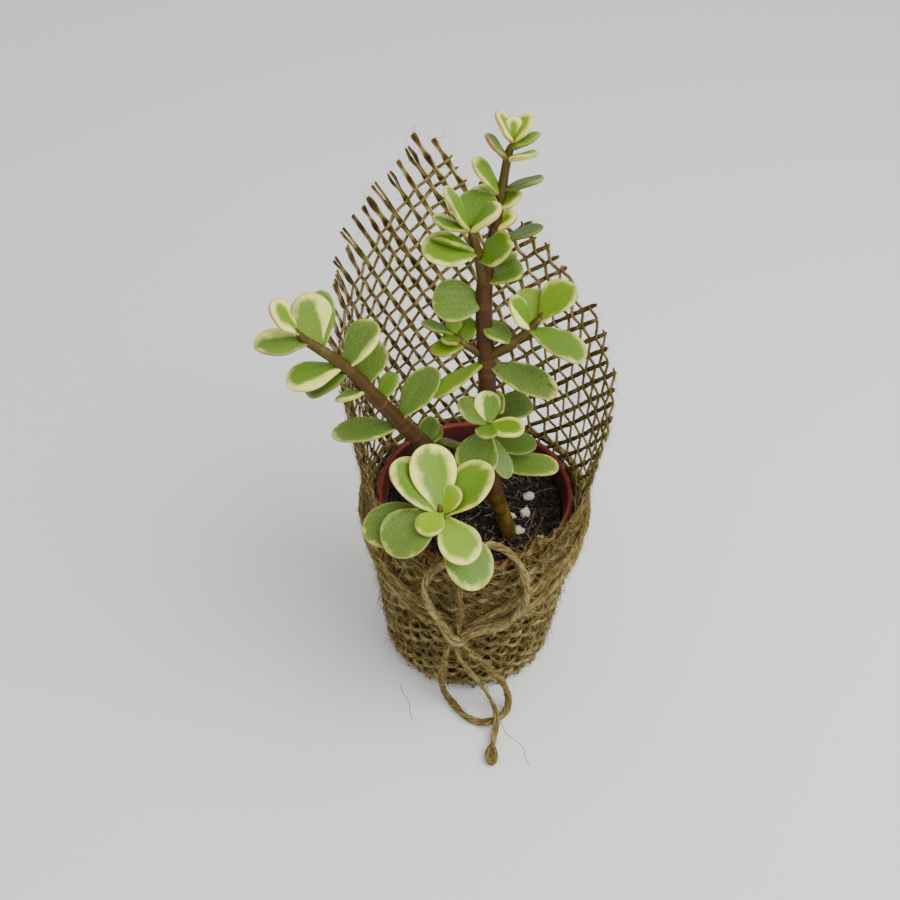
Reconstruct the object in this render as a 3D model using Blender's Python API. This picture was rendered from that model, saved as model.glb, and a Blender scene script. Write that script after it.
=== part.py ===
"""Potted elephant bush: a variegated bush in a small plastic nursery pot, wound in open jute
net that stands up as a pointed fan behind it and is tied on with twine in a bow.

Sizes are in millimetres and become metres in the meshes. The origin is the middle of the pot's
underside, +Z is up and -Y is the front, where the bow is."""

import math
import random

import bmesh
import bpy
from mathutils import Matrix, Vector

MM = 0.001
GAP = 0.35                 # clearance between pieces that touch

# Pot
POT_HEIGHT = 68.0
RIM_RADIUS = 30.0
RIM_BAND = 6.0             # height of the thicker band at the mouth
BASE_RADIUS = 22.5
SHOULDER_RADIUS = 28.4     # wall just under the band
POT_WALL = 1.1
POT_FLOOR = 1.4
POT_SIDES = 36
DRAIN_RADIUS = 2.6
DRAIN_RING = 14.0
DRAIN_COUNT = 4

# Soil
SOIL_TOP = 60.5
SOIL_BUMP = 0.35
HOLE_FLOOR = 48.0          # the stems stand in holes down to here

# Jute
WRAP_INNER = (24.2, 30.7)  # inner radius at the floor and at the pot's rim
WRAP_WALL = 2.5            # several layers of net wound on each other
WRAP_TOP = 67.0
WRAP_SIDES = 44
WRAP_ROWS = 12
WEAVE_RELIEF = 0.5
FAN_RADIUS = 32.4          # middle of the net at the rim, where the fan starts
FAN_CONE = math.radians(8.0)
FAN_TURN = math.radians(-27.0)   # the fan's peak is left of straight back
FAN_PEAK = 97.0            # height of the peak above the rim, measured along the cloth
FAN_EDGE = (46.0, 43.0)    # slope of the left and right edges away from the peak's line, degrees
WARP_TILT = 65.0           # threads that run down to the right, degrees below level
WEFT_TILT = 37.0           # threads that run up to the right, degrees above level
MESH_PITCH = 6.1
THREAD_WIDTH = 1.7
THREAD_DEPTH = 1.1
FRINGE = 4.5

# Twine
TWINE = 2.8
TAIL = 1.8
KNOT = (-4.5, -35.2, 38.0)

# Stem routes: x, y, z, radius
STEMS = {
    "main": [(10.5, -12, 49, 2.3), (10.5, -12, 62, 2.4), (8.5, -11.5, 69, 2.4), (6, -11, 77, 2.5),
             (3, -9, 92, 2.5), (1.5, -7, 104, 2.6), (1.5, -5, 114, 2.6), (1, -3, 123, 2.5),
             (0, 0, 131, 2.4), (-0.5, 3, 144, 2.2), (0.5, 6, 154, 1.6), (1.5, 8, 159, 1.4),
             (2.5, 11, 165, 1.3), (4, 16, 175, 1.1), (5, 17, 178, 0.9)],
    "fork": [(0, 2, 140, 1.6), (-1.5, 3, 148, 1.5), (-3, 3, 155, 1.3), (-5, 4, 160, 1.0)],
    "east": [(0.5, -2.5, 121, 1.2), (2.5, -3, 125, 1.4), (6, -3, 128, 1.3), (10, -2, 131, 1.2),
             (13, -1, 134, 1.1), (14.5, 0, 136, 0.9)],
    "west": [(1, -3, 123, 1.2), (-2.5, -2.5, 126, 1.2), (-6, -2, 128, 1.0), (-8, -1, 130, 0.8)],
    "bud": [(2.5, -8, 98, 1.2), (2, -11, 104, 1.2), (2, -14, 109, 1.0)],
    "left": [(-2, -2, 49, 2.2), (-2, -2, 62, 2.2), (-4, -3, 69, 2.3), (-8, -5, 80, 2.4),
             (-15, -9, 95, 2.4), (-22, -13, 108, 2.3), (-28.5, -17, 121, 2.1), (-34, -20, 132, 1.8),
             (-39, -22, 139, 1.5), (-45, -23, 145, 1.2), (-46.5, -24, 148, 0.9)],
    "front": [(-4, -19, 49, 1.6), (-4, -19, 62, 1.6), (-5, -22, 69, 1.6), (-6.5, -27, 77, 1.6),
              (-8, -32, 86, 1.5), (-9, -34.5, 92, 1.4), (-10, -36, 97.5, 1.1)],
}

# Leaves: height on the stem, azimuth from +X and elevation of the blade, length, width, roll
LEAVES = {
    "main": [
        (178, 175, 60, 9, 7, 0), (178, 95, 70, 6.5, 5, 0), (178, 15, 58, 8.5, 6.5, 0),
        (176.5, 345, 36, 9, 4.5, 0), (174, 335, 28, 9, 4.5, -10), (174, 185, 52, 9, 5.5, 0),
        (166, 165, 50, 12, 7, 0), (167, 350, 27, 11.5, 6.5, -12), (163, 20, 35, 7, 6.5, 0),
        (163, 130, 12, 9, 9, 0), (155, 350, 24, 14.5, 7.5, -12), (158, 20, 35, 7, 6, 0),
        (150.5, 345, 45, 10.5, 9.5, 0), (145, 10, 18, 10.5, 10, 0), (139.5, 190, 2, 12, 10, -25),
        (123, 210, -15, 14, 7, 20), (122, 340, -8, 21, 11, 0), (92, 150, 18, 16, 7, 0),
        (106, 5, 8, 13.5, 8.5, 0), (96, 0, 2, 14, 9, 0), (90, 349, 4, 20, 8.5, 0)],
    "fork": [
        (160, 180, 60, 14, 9, 0), (160, 72, 32, 11.5, 10, 0), (160, 5, 42, 10.5, 8, 0),
        (160, 195, 25, 11, 6.5, 0), (154, 198, 15, 14.5, 10.5, -20), (154, 300, 20, 7, 8, 0)],
    "east": [
        (127.5, 170, 32, 7.5, 7, 0), (133, 165, 53, 10.5, 9, 0), (133, 88, 14, 11.5, 10.5, 0),
        (136, 35, 36, 12.5, 10.5, 0), (133, 335, -12, 17, 10.5, 0)],
    "west": [
        (130, 175, 20, 9, 7, 0), (127.5, 190, 2, 8.5, 6.5, 0), (128, 60, 40, 6, 6, 0),
        (130, 100, 60, 4, 4, 0)],
    "bud": [
        (109, 155, 33, 10.5, 8.5, 0), (109, 95, 42, 9.5, 7, 0), (109, 340, 8, 10.5, 8, 0),
        (109, 265, 15, 7, 6, 0), (105, 247, -40, 13.5, 12, 0), (102, 305, -35, 14, 6, 0)],
    "left": [
        (148, 170, 50, 10, 8.5, 0), (144, 195, 3, 13.5, 9.5, 0), (141, 128, 58, 14, 11, 0),
        (141, 92, 50, 15, 7, 0), (135, 205, -10, 15, 10.5, 0), (133, 205, -25, 14, 9, 0),
        (134, 50, 40, 14, 9.5, 0), (126, 70, 40, 12, 8, 0), (123, 55, 25, 7.5, 5, 0),
        (123, 205, 5, 6.5, 4.5, 0), (107.5, 192, 0, 20, 9, 0), (109.5, 48, 38, 17, 10, 0),
        (95, 80, 30, 9, 6, 0), (95, 50, 20, 7, 4, 0)],
    "front": [
        (97.5, 108, 42, 18.5, 12.5, 0), (96.5, 148, 34, 19, 12.5, 0), (95.5, 30, 40, 19, 13, 0),
        (97.5, 210, -22, 18, 14, -10), (92, 185, -2, 22, 14, -15), (95.5, 303, -20, 15.5, 11.5, 0),
        (89.5, 307, -30, 20, 14, 0), (97.5, 235, -8, 8, 6.5, 0), (97, 38, 48, 8.5, 6.5, 0)],
}
LEAF_DEPTH = 1.7
LEAF_EDGE = 0.6
LEAF_ROOT = 0.7            # how far past the stem's axis a blade's foot reaches
LEAF_CUP = 0.12            # how far the edges rise for each millimetre of half width
LEAF_WIDEST = 0.6          # share of the length where a blade is widest
LEAF_STATIONS = (0.0, 0.2, 0.42, 0.64, 0.84, 0.97)

# Routes of the twine. Turns: degrees from straight back, clockwise seen from above, and height
UPPER_TURN = [(-172, 39), (-165, 45), (-150, 50.5), (-140, 54), (-130, 57.5), (-110, 61.5),
              (-60, 64), (0, 64), (60, 64), (110, 63), (130, 62), (140, 60), (150, 56.5),
              (165, 50), (184, 40)]
LOWER_TURN = [(-174, 37), (-165, 39), (-150, 42.5), (-140, 46), (-130, 49.5), (-110, 53.5),
              (-60, 56), (0, 56), (60, 56), (110, 54), (130, 51.5), (140, 49.5), (150, 46.5),
              (165, 42), (184, 38)]
TOP_LOOP = [(-6.3, -35.8, 42.3), (-9.5, -36.2, 49), (-12.5, -36.8, 57), (-14, -37.2, 65),
            (-12.5, -36.4, 71.5), (-8, -34.4, 74), (-2.5, -30.5, 74), (2.5, -26.5, 73),
            (7, -26.2, 72), (11, -29.5, 72), (14, -33.5, 70), (15.5, -36, 64), (14, -36.6, 56),
            (8.5, -37.2, 48.5), (2.2, -37.2, 44.5), (-1.8, -36.4, 42)]
LOW_LOOP = [(-6.9, -36.1, 33.8), (-7.8, -35.6, 26), (-8.4, -34.2, 18), (-8, -33, 11),
            (-7, -32.4, 5.5), (-5, -33.2, 2.2), (-2.2, -36.4, 1.5), (1.4, -39.5, 1.45),
            (5.7, -40.5, 1.45), (10, -39.2, 1.45), (13, -36, 1.6), (13.7, -33.6, 4),
            (12.6, -32.5, 9), (10.6, -32.8, 14.5), (7.5, -33.8, 21), (3.4, -35.4, 29),
            (-1.1, -35.7, 34.7)]
TAIL_ROUTE = [(-3.8, -36.2, 33.5), (-0.8, -36.6, 26.5), (3.4, -35.4, 17), (6.4, -34.4, 9),
              (8.2, -35, 5.2), (9.3, -37.4, 4.3), (9.8, -40.4, 4.3), (9.4, -44, 2.8), (8.6, -49, 1.6)]
TAIL_KNOT = (8.1, -52.6, 2.1)

PERLITE = [((16, 4.5), 1.5), ((15.5, -2.5), 1.7), ((11.5, -5), 1.2), ((15, -8.8), 1.6),
           ((-23, 7), 1.4), ((20, -14), 1.2)]

COLOURS = {
    "pot_plastic": ((0.30, 0.035, 0.018), 0.45),
    "soil": ((0.022, 0.016, 0.012), 0.95),
    "perlite": ((0.62, 0.60, 0.54), 0.9),
    "stem_bark": ((0.085, 0.026, 0.020), 0.6),
    "leaf": ((0.20, 0.34, 0.06), 0.38),
    "jute": ((0.33, 0.22, 0.10), 0.9),
    "twine": ((0.40, 0.27, 0.13), 0.9),
}


def material(name):
    """The Principled material of that name, made once."""
    found = bpy.data.materials.get(name)
    if found:
        return found
    colour, roughness = COLOURS[name]
    made = bpy.data.materials.new(name)
    made.use_nodes = True
    shader = made.node_tree.nodes["Principled BSDF"]
    shader.inputs["Base Color"].default_value = (*colour, 1.0)
    shader.inputs["Roughness"].default_value = roughness
    shader.inputs["Metallic"].default_value = 0.0
    return made


def solid(name, points, faces, look, smooth=35.0):
    """A mesh object from points in millimetres, its faces turned outwards."""
    mesh = bpy.data.meshes.new(name)
    mesh.from_pydata([tuple(Vector(p) * MM) for p in points], [], faces)
    work = bmesh.new()
    work.from_mesh(mesh)
    bmesh.ops.recalc_face_normals(work, faces=work.faces)
    work.to_mesh(mesh)
    work.free()
    mesh.materials.append(material(look))
    mesh.shade_smooth()
    mesh.set_sharp_from_angle(angle=math.radians(smooth))
    made = bpy.data.objects.new(name, mesh)
    bpy.context.scene.collection.objects.link(made)
    return made


def apply_modifiers(thing):
    """Keeps a piece as its modifiers leave it."""
    graph = bpy.context.evaluated_depsgraph_get()
    done = bpy.data.meshes.new_from_object(thing.evaluated_get(graph))
    thing.modifiers.clear()
    old = thing.data
    thing.data = done
    bpy.data.meshes.remove(old)


def join_solids(body, others, solver="EXACT"):
    """One Boolean union of a body with all the others, which are then removed."""
    group = bpy.data.collections.new(body.name + "_parts")
    bpy.context.scene.collection.children.link(group)
    for other in others:
        for holder in list(other.users_collection):
            holder.objects.unlink(other)
        group.objects.link(other)
    union = body.modifiers.new("Union", "BOOLEAN")
    union.operation = "UNION"
    union.operand_type = "COLLECTION"
    union.collection = group
    union.solver = solver
    apply_modifiers(body)
    for other in list(group.objects):
        bpy.data.objects.remove(other)
    bpy.data.collections.remove(group)


def cut(body, cutter):
    """A Boolean cut by a cutter, which is then removed."""
    hole = body.modifiers.new("Cut", "BOOLEAN")
    hole.operation = "DIFFERENCE"
    hole.object = cutter
    hole.solver = "EXACT"
    apply_modifiers(body)
    bpy.data.objects.remove(cutter)


def smooth_route(points, step):
    """Points about a step apart on a centripetal spline through the given ones."""
    rows = [Vector(p) for p in points]
    rows = [2 * rows[0] - rows[1]] + rows + [2 * rows[-1] - rows[-2]]
    out = []
    for a, b, c, d in zip(rows, rows[1:], rows[2:], rows[3:]):
        t1 = (b - a).length ** 0.5
        t2 = t1 + (c - b).length ** 0.5
        t3 = t2 + (d - c).length ** 0.5
        count = max(1, round((c - b).length / step))
        for i in range(count):
            t = t1 + (t2 - t1) * i / count
            ab = a.lerp(b, t / t1)
            bc = b.lerp(c, (t - t1) / (t2 - t1))
            cd = c.lerp(d, (t - t2) / (t3 - t2))
            out.append(ab.lerp(bc, t / t2).lerp(bc.lerp(cd, (t - t1) / (t3 - t1)), (t - t1) / (t2 - t1)))
    return out + [rows[-2]]


def lathe(name, outline, sides, look):
    """A closed turned body from an outline of radius and height that starts and ends on the axis."""
    points, faces, rings = [], [], []
    for radius, height in outline:
        if radius < 1e-6:
            rings.append([len(points)] * sides)
            points.append((0, 0, height))
        else:
            rings.append(list(range(len(points), len(points) + sides)))
            for i in range(sides):
                angle = 2 * math.pi * i / sides
                points.append((radius * math.cos(angle), radius * math.sin(angle), height))
    for low, high in zip(rings, rings[1:]):
        for i in range(sides):
            j = (i + 1) % sides
            face = [low[i], low[j], high[j], high[i]]
            face = [v for k, v in enumerate(face) if v not in face[:k]]
            faces.append(face)
    return solid(name, points, faces, look)


def swept_tube(name, route, radii, look, sides=8):
    """A closed tube along a route with its own radius at each point."""
    route = [Vector(p) for p in route]
    points, faces = [], []
    side = Vector((1, 0, 0))
    for i, centre in enumerate(route):
        ahead = (route[min(i + 1, len(route) - 1)] - route[max(i - 1, 0)]).normalized()
        side = (side - ahead * side.dot(ahead)).normalized()
        other = ahead.cross(side)
        for k in range(sides):
            angle = 2 * math.pi * k / sides
            points.append(centre + radii[i] * (math.cos(angle) * side + math.sin(angle) * other))
    for i in range(len(route) - 1):
        for k in range(sides):
            j = (k + 1) % sides
            faces.append([i * sides + k, i * sides + j, (i + 1) * sides + j, (i + 1) * sides + k])
    faces.append(list(range(sides)))
    faces.append([(len(route) - 1) * sides + k for k in reversed(range(sides))])
    return solid(name, points, faces, look, 50.0)


def cord(name, route, diameter):
    """Twine that lies free: a curve with a round bevel and filled caps."""
    curve = bpy.data.curves.new(name, "CURVE")
    curve.dimensions = "3D"
    curve.bevel_depth = diameter / 2 * MM
    curve.bevel_resolution = 2
    curve.use_fill_caps = True
    points = smooth_route(route, diameter * 2.2)
    line = curve.splines.new("POLY")
    line.points.add(len(points) - 1)
    for place, point in zip(line.points, points):
        place.co = (*(point * MM), 1.0)
    curve.materials.append(material("twine"))
    made = bpy.data.objects.new(name, curve)
    bpy.context.scene.collection.objects.link(made)
    return made


def build_pot():
    """Tapered pot with a thicker band at its mouth and drainage holes in its floor."""
    inner_base = BASE_RADIUS - POT_WALL
    inner_top = RIM_RADIUS - POT_WALL - 0.6
    band = POT_HEIGHT - RIM_BAND
    pot = lathe("pot", [
        (0, 0), (BASE_RADIUS - 0.8, 0), (BASE_RADIUS, 0.8), (SHOULDER_RADIUS, band),
        (RIM_RADIUS - 0.3, band), (RIM_RADIUS, band + 0.4), (RIM_RADIUS, POT_HEIGHT - 0.6),
        (RIM_RADIUS - 0.5, POT_HEIGHT), (inner_top + 0.4, POT_HEIGHT), (inner_top, POT_HEIGHT - 0.6),
        (SHOULDER_RADIUS - POT_WALL, band), (inner_base, POT_FLOOR), (0, POT_FLOOR)],
        POT_SIDES, "pot_plastic")
    for i in range(DRAIN_COUNT):
        angle = 2 * math.pi * (i + 0.5) / DRAIN_COUNT
        bpy.ops.mesh.primitive_cylinder_add(vertices=8, radius=DRAIN_RADIUS * MM, depth=8 * MM, location=(
            DRAIN_RING * math.cos(angle) * MM, DRAIN_RING * math.sin(angle) * MM, 0))
        cut(pot, bpy.context.object)
    return pot


def build_soil():
    """Potting mix that fills the pot, a little uneven on top, with a plain hole for each stem."""
    chance = random.Random(4)
    inner_base = BASE_RADIUS - POT_WALL - GAP
    inner_top = SHOULDER_RADIUS - POT_WALL - GAP
    share = (SOIL_TOP - POT_FLOOR) / (POT_HEIGHT - RIM_BAND - POT_FLOOR)
    mouth = inner_base + (inner_top - inner_base) * share
    soil = lathe("soil", [
        (0, POT_FLOOR + GAP), (inner_base, POT_FLOOR + GAP), (mouth, SOIL_TOP), (mouth * 0.84, SOIL_TOP),
        (mouth * 0.56, SOIL_TOP), (mouth * 0.28, SOIL_TOP), (0, SOIL_TOP)],
        POT_SIDES, "soil")
    for place in soil.data.vertices:
        if place.co.z > (SOIL_TOP - 1) * MM and place.co.xy.length < (mouth - 1) * MM:
            place.co.z += chance.uniform(-SOIL_BUMP, SOIL_BUMP) * MM
    for name in ("main", "left", "front"):
        x, y, z, radius = STEMS[name][0]
        top = SOIL_TOP + 4
        bpy.ops.mesh.primitive_cylinder_add(
            vertices=12, radius=(radius + GAP + 0.15) * MM, depth=(top - HOLE_FLOOR) * MM,
            location=(x * MM, y * MM, (top + HOLE_FLOOR) / 2 * MM))
        cut(soil, bpy.context.object)
    return soil


def build_perlite():
    """White grains that lie on the soil."""
    chance = random.Random(9)
    for number, ((x, y), size) in enumerate(PERLITE, 1):
        name = f"perlite_{number}"
        bpy.ops.mesh.primitive_ico_sphere_add(subdivisions=1, radius=size * MM)
        grain = bpy.context.object
        grain.name = grain.data.name = name
        for place in grain.data.vertices:
            place.co *= chance.uniform(0.85, 1.1)
            place.co.z *= 0.8
        low = min(place.co.z for place in grain.data.vertices)
        shift = Vector((x * MM, y * MM, (SOIL_TOP + SOIL_BUMP + 0.25) * MM - low))
        for place in grain.data.vertices:
            place.co += shift
        grain.data.materials.append(material("perlite"))


def leaf_width(share):
    """Half width of a blade as a share of its widest, from its foot to its round tip."""
    if share > LEAF_WIDEST:
        return math.sqrt(max(0.0, 1 - ((share - LEAF_WIDEST) / (1 - LEAF_WIDEST)) ** 2))
    return 0.14 + 0.86 * math.sin(math.pi / 2 * share / LEAF_WIDEST) ** 1.4


def leaf(foot, azimuth, elevation, length, width, roll):
    """A thick obovate blade with a blunt edge, cupped a little upwards."""
    azimuth, elevation, roll = (math.radians(v) for v in (azimuth, elevation, roll))
    ahead = Vector((math.cos(elevation) * math.cos(azimuth), math.cos(elevation) * math.sin(azimuth),
                    math.sin(elevation)))
    level = Vector((-math.sin(azimuth), math.cos(azimuth), 0))
    up = ahead.cross(level)
    side = math.cos(roll) * level + math.sin(roll) * up
    face = math.cos(roll) * up - math.sin(roll) * level
    foot = foot - ahead * LEAF_ROOT
    length += LEAF_ROOT
    points, faces = [], []
    for share in LEAF_STATIONS:
        half = max(0.5, width / 2 * leaf_width(share))
        thick = LEAF_DEPTH / 2 * min(1.0, 0.6 + 2 * share, 0.45 + 4 * (1 - share))
        rise = LEAF_CUP * half
        centre = foot + ahead * length * share
        for across, above in ((-half, rise - LEAF_EDGE / 2), (0, -thick), (half, rise - LEAF_EDGE / 2),
                              (half, rise + LEAF_EDGE / 2), (0, thick), (-half, rise + LEAF_EDGE / 2)):
            points.append(centre + side * across + face * above)
    for i in range(len(LEAF_STATIONS) - 1):
        for k in range(6):
            j = (k + 1) % 6
            faces.append([i * 6 + k, i * 6 + j, i * 6 + 6 + j, i * 6 + 6 + k])
    faces.append(list(range(6)))
    faces.append([(len(LEAF_STATIONS) - 1) * 6 + k for k in reversed(range(6))])
    return solid("leaf", points, faces, "leaf", 60.0)


def stem_point(rows, height):
    """The point of a stem's axis at a height."""
    for low, high in zip(rows, rows[1:]):
        if low[2] <= height <= high[2]:
            share = (height - low[2]) / (high[2] - low[2])
            return Vector(low[:3]).lerp(Vector(high[:3]), share)
    return Vector(rows[-1][:3])


def build_leafy_stem(name, branches):
    """A stem with its side branches and all their leaves, grown together as one body."""
    pieces = []
    for branch in branches:
        rows = STEMS[branch]
        route = smooth_route([row[:3] for row in rows], 9.0)
        heights = [row[2] for row in rows]
        radii = []
        for point in route:
            k = max(0, min(len(rows) - 2, sum(h <= point.z for h in heights) - 1))
            share = min(1.0, max(0.0, (point.z - heights[k]) / (heights[k + 1] - heights[k])))
            radii.append(rows[k][3] + (rows[k + 1][3] - rows[k][3]) * share)
        pieces.append(swept_tube(name if branch == branches[0] else branch, route, radii, "stem_bark"))
        for height, *shape in LEAVES[branch]:
            pieces.append(leaf(stem_point(rows, height), *shape))
    join_solids(pieces[0], pieces[1:])
    pieces[0].name = pieces[0].data.name = name
    return pieces[0]


def wrap_radius(height):
    """Outer radius of the wound jute at a height."""
    inner = WRAP_INNER[0] + (WRAP_INNER[1] - WRAP_INNER[0]) * height / POT_HEIGHT
    return inner + WRAP_WALL


def on_fan(across, up):
    """A point of the flat cloth, wound on the cone that flares from the pot's rim."""
    apex = FAN_RADIUS / math.sin(FAN_CONE)
    reach = math.hypot(across, up + apex)
    angle = math.atan2(across, up + apex) / math.sin(FAN_CONE) + FAN_TURN
    radius = reach * math.sin(FAN_CONE)
    height = (reach - apex) * math.cos(FAN_CONE)
    return radius, angle, height


def fan_edge(angle):
    """Height of the cloth's free edge above the rim where the edges come round to the front."""
    degrees = math.degrees(angle)
    if degrees < -98:
        return max(-4.0, 46 - 1.25 * (-98 - degrees))
    if degrees > 100:
        return max(-4.0, 27 - 0.6 * (degrees - 100))
    return FAN_PEAK


def in_cloth(across, up):
    """Whether a crossing of the flat net belongs to the fan."""
    drop = FAN_PEAK - up
    if drop < 0 or across < -drop * math.tan(math.radians(FAN_EDGE[0])):
        return False
    if across > drop * math.tan(math.radians(FAN_EDGE[1])):
        return False
    radius, angle, height = on_fan(across, up)
    return -5.0 < height < fan_edge(angle) and abs(angle - FAN_TURN) < math.radians(175)


def build_fan():
    """The open net above the rim: crossings and threads laid out flat, then wound on the cone."""
    warp = Vector((math.cos(math.radians(WARP_TILT)), -math.sin(math.radians(WARP_TILT))))
    weft = Vector((math.cos(math.radians(WEFT_TILT)), math.sin(math.radians(WEFT_TILT))))
    skew = abs(warp.x * weft.y - warp.y * weft.x)
    pitch = MESH_PITCH / skew
    reach = range(-50, 51)
    places = {(i, j): Vector((0, FAN_PEAK)) + warp * i * pitch + weft * j * pitch
              for i in reach for j in reach}
    kept = {key for key, place in places.items() if in_cloth(*place)}
    half = THREAD_WIDTH / 2 / skew
    points, corners, faces = [], {}, []

    def corner(key, a, b):
        if (key, a, b) not in corners:
            flat = places[key] + warp * a * half + weft * b * half
            radius, angle, height = on_fan(*flat)
            corners[(key, a, b)] = len(points)
            points.append((radius * math.sin(angle), radius * math.cos(angle), POT_HEIGHT + height))
        return corners[(key, a, b)]

    def loose_end(key, way):
        """A thread's end that stands out past its last crossing."""
        first, second = corner(key, way, -1), corner(key, way, 1)
        ends = []
        for b in (-1, 1):
            flat = places[key] + warp * way * (half + FRINGE) + weft * b * half
            radius, angle, height = on_fan(*flat)
            ends.append(len(points))
            points.append((radius * math.sin(angle), radius * math.cos(angle), POT_HEIGHT + height))
        faces.append([first, second, ends[1], ends[0]])

    for i, j in sorted(kept):
        key = (i, j)
        faces.append([corner(key, -1, -1), corner(key, 1, -1), corner(key, 1, 1), corner(key, -1, 1)])
        if (i + 1, j) in kept:
            after = (i + 1, j)
            faces.append([corner(key, 1, -1), corner(after, -1, -1), corner(after, -1, 1),
                          corner(key, 1, 1)])
        if (i, j + 1) in kept:
            after = (i, j + 1)
            faces.append([corner(key, -1, 1), corner(key, 1, 1), corner(after, 1, -1),
                          corner(after, -1, -1)])
        if (i - 1, j) not in kept and on_fan(*places[key])[2] > 12:
            loose_end(key, -1)
    fan = solid("fan", points, faces, "jute")
    thick = fan.modifiers.new("Solidify", "SOLIDIFY")
    thick.thickness = THREAD_DEPTH * MM
    thick.offset = 0
    apply_modifiers(fan)
    return fan


def build_wrap():
    """The jute: layers wound on the pot, with a frayed hem on the floor, and the fan above."""
    points, faces = [], []
    rows = WRAP_ROWS + 1
    for row in range(rows):
        height = WRAP_TOP * row / WRAP_ROWS
        for i in range(WRAP_SIDES):
            angle = 2 * math.pi * i / WRAP_SIDES
            relief = WEAVE_RELIEF if (i + row) % 2 else -WEAVE_RELIEF
            lift = 2.2 if row == 0 and i % 2 else 0.0
            radius = wrap_radius(height) + relief
            points.append((radius * math.cos(angle), radius * math.sin(angle), height + lift))
    for row, height in enumerate((WRAP_TOP, 0.0)):
        for i in range(WRAP_SIDES):
            angle = 2 * math.pi * i / WRAP_SIDES
            radius = wrap_radius(height) - WRAP_WALL
            lift = 2.2 if row == 1 and i % 2 else 0.0
            points.append((radius * math.cos(angle), radius * math.sin(angle), height + lift))
    ring_count = rows + 2
    for row in range(ring_count):
        after = (row + 1) % ring_count
        for i in range(WRAP_SIDES):
            j = (i + 1) % WRAP_SIDES
            a, b = row * WRAP_SIDES + i, row * WRAP_SIDES + j
            c, d = after * WRAP_SIDES + j, after * WRAP_SIDES + i
            faces += [[a, b, c], [a, c, d]]
    wrap = solid("jute_wrap", points, faces, "jute")
    join_solids(wrap, [build_fan()])
    return wrap


def build_twine_turns():
    """Two turns of twine round the jute, drawn together in the knot."""
    turns = []
    for name, rows in (("twine_turns", UPPER_TURN), ("lower_turn", LOWER_TURN)):
        route = []
        for place in smooth_route([(a, h, 0) for a, h in rows], 12.0):
            radius = wrap_radius(place.y) + WEAVE_RELIEF + GAP + TWINE / 2
            angle = math.radians(place.x)
            route.append((radius * math.sin(angle), radius * math.cos(angle), place.y))
        turns.append(swept_tube(name, route, [TWINE / 2] * len(route), "twine"))
    bpy.ops.mesh.primitive_uv_sphere_add(segments=10, ring_count=6, radius=MM)
    knot = bpy.context.object
    stretch = Matrix.Diagonal((4.6, 2.6, 4.2, 1.0))
    knot.data.transform(Matrix.Translation(Vector(KNOT) * MM) @ stretch)
    knot.data.materials.append(material("twine"))
    turns.append(knot)
    join_solids(turns[0], turns[1:])
    return turns[0]


def build_tail_knot():
    """The overhand knot at the end of the tail."""
    bpy.ops.mesh.primitive_uv_sphere_add(segments=10, ring_count=6, radius=MM)
    knot = bpy.context.object
    knot.name = knot.data.name = "tail_knot"
    stretch = Matrix.Diagonal((2.0, 3.2, 1.9, 1.0))
    knot.data.transform(Matrix.Translation(Vector(TAIL_KNOT) * MM) @ stretch)
    knot.data.materials.append(material("twine"))


def main():
    for thing in list(bpy.data.objects):
        bpy.data.objects.remove(thing)
    build_pot()
    build_soil()
    build_perlite()
    build_leafy_stem("main_stem", ("main", "fork", "east", "west", "bud"))
    build_leafy_stem("left_stem", ("left",))
    build_leafy_stem("front_shoot", ("front",))
    build_wrap()
    build_twine_turns()
    cord("bow_loop_top", TOP_LOOP, TWINE)
    cord("bow_loop_low", LOW_LOOP, TWINE)
    cord("twine_tail", TAIL_ROUTE, TAIL)
    build_tail_knot()


main()
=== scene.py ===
# Looks of the potted elephant bush: leaves, stems, soil, pot, jute net and twine
import math
import random

import bpy
import numpy as np
from mathutils import Matrix, Vector, noise


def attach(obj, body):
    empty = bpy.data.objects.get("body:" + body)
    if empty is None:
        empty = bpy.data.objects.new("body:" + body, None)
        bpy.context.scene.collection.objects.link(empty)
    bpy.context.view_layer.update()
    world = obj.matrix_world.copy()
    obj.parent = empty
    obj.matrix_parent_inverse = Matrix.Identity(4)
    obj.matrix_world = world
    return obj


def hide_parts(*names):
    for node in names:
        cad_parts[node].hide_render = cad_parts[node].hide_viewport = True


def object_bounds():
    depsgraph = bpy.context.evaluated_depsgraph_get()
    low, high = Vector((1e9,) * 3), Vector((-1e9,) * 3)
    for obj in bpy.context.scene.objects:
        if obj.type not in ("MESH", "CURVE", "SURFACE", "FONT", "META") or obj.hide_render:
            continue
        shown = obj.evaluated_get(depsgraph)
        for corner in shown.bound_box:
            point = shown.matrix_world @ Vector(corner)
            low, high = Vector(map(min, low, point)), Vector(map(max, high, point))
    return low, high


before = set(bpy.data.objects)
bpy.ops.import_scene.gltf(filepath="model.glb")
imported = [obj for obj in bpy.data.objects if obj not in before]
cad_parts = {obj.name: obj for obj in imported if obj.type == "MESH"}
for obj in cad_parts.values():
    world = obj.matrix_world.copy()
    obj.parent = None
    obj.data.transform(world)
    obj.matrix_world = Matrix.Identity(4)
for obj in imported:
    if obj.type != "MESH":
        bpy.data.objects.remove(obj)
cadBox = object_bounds()
mm = 0.001

# All places are in millimetres: the pot's underside is the origin, +Z up, the bow is at -Y


# Camera, floor and light
view = {"place": (-8.1, -249.4, 337.5), "pitch": 45.4, "roll": 2.0, "lens": 48.0, "sensor": 36.0}
stage = {"floorSize": 4000, "floorColour": (0.71, 0.71, 0.705), "skyColour": (1.0, 1.0, 0.99),
         "skyPower": 0.97}
lamps = {  # place, aimed at, size, power in watts
    "softKey": ((320, -170, 560), (0, 0, 60), 600, 5.4),
    "frontFill": ((-360, -380, 460), (0, 0, 60), 700, 0.5),
}


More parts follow.
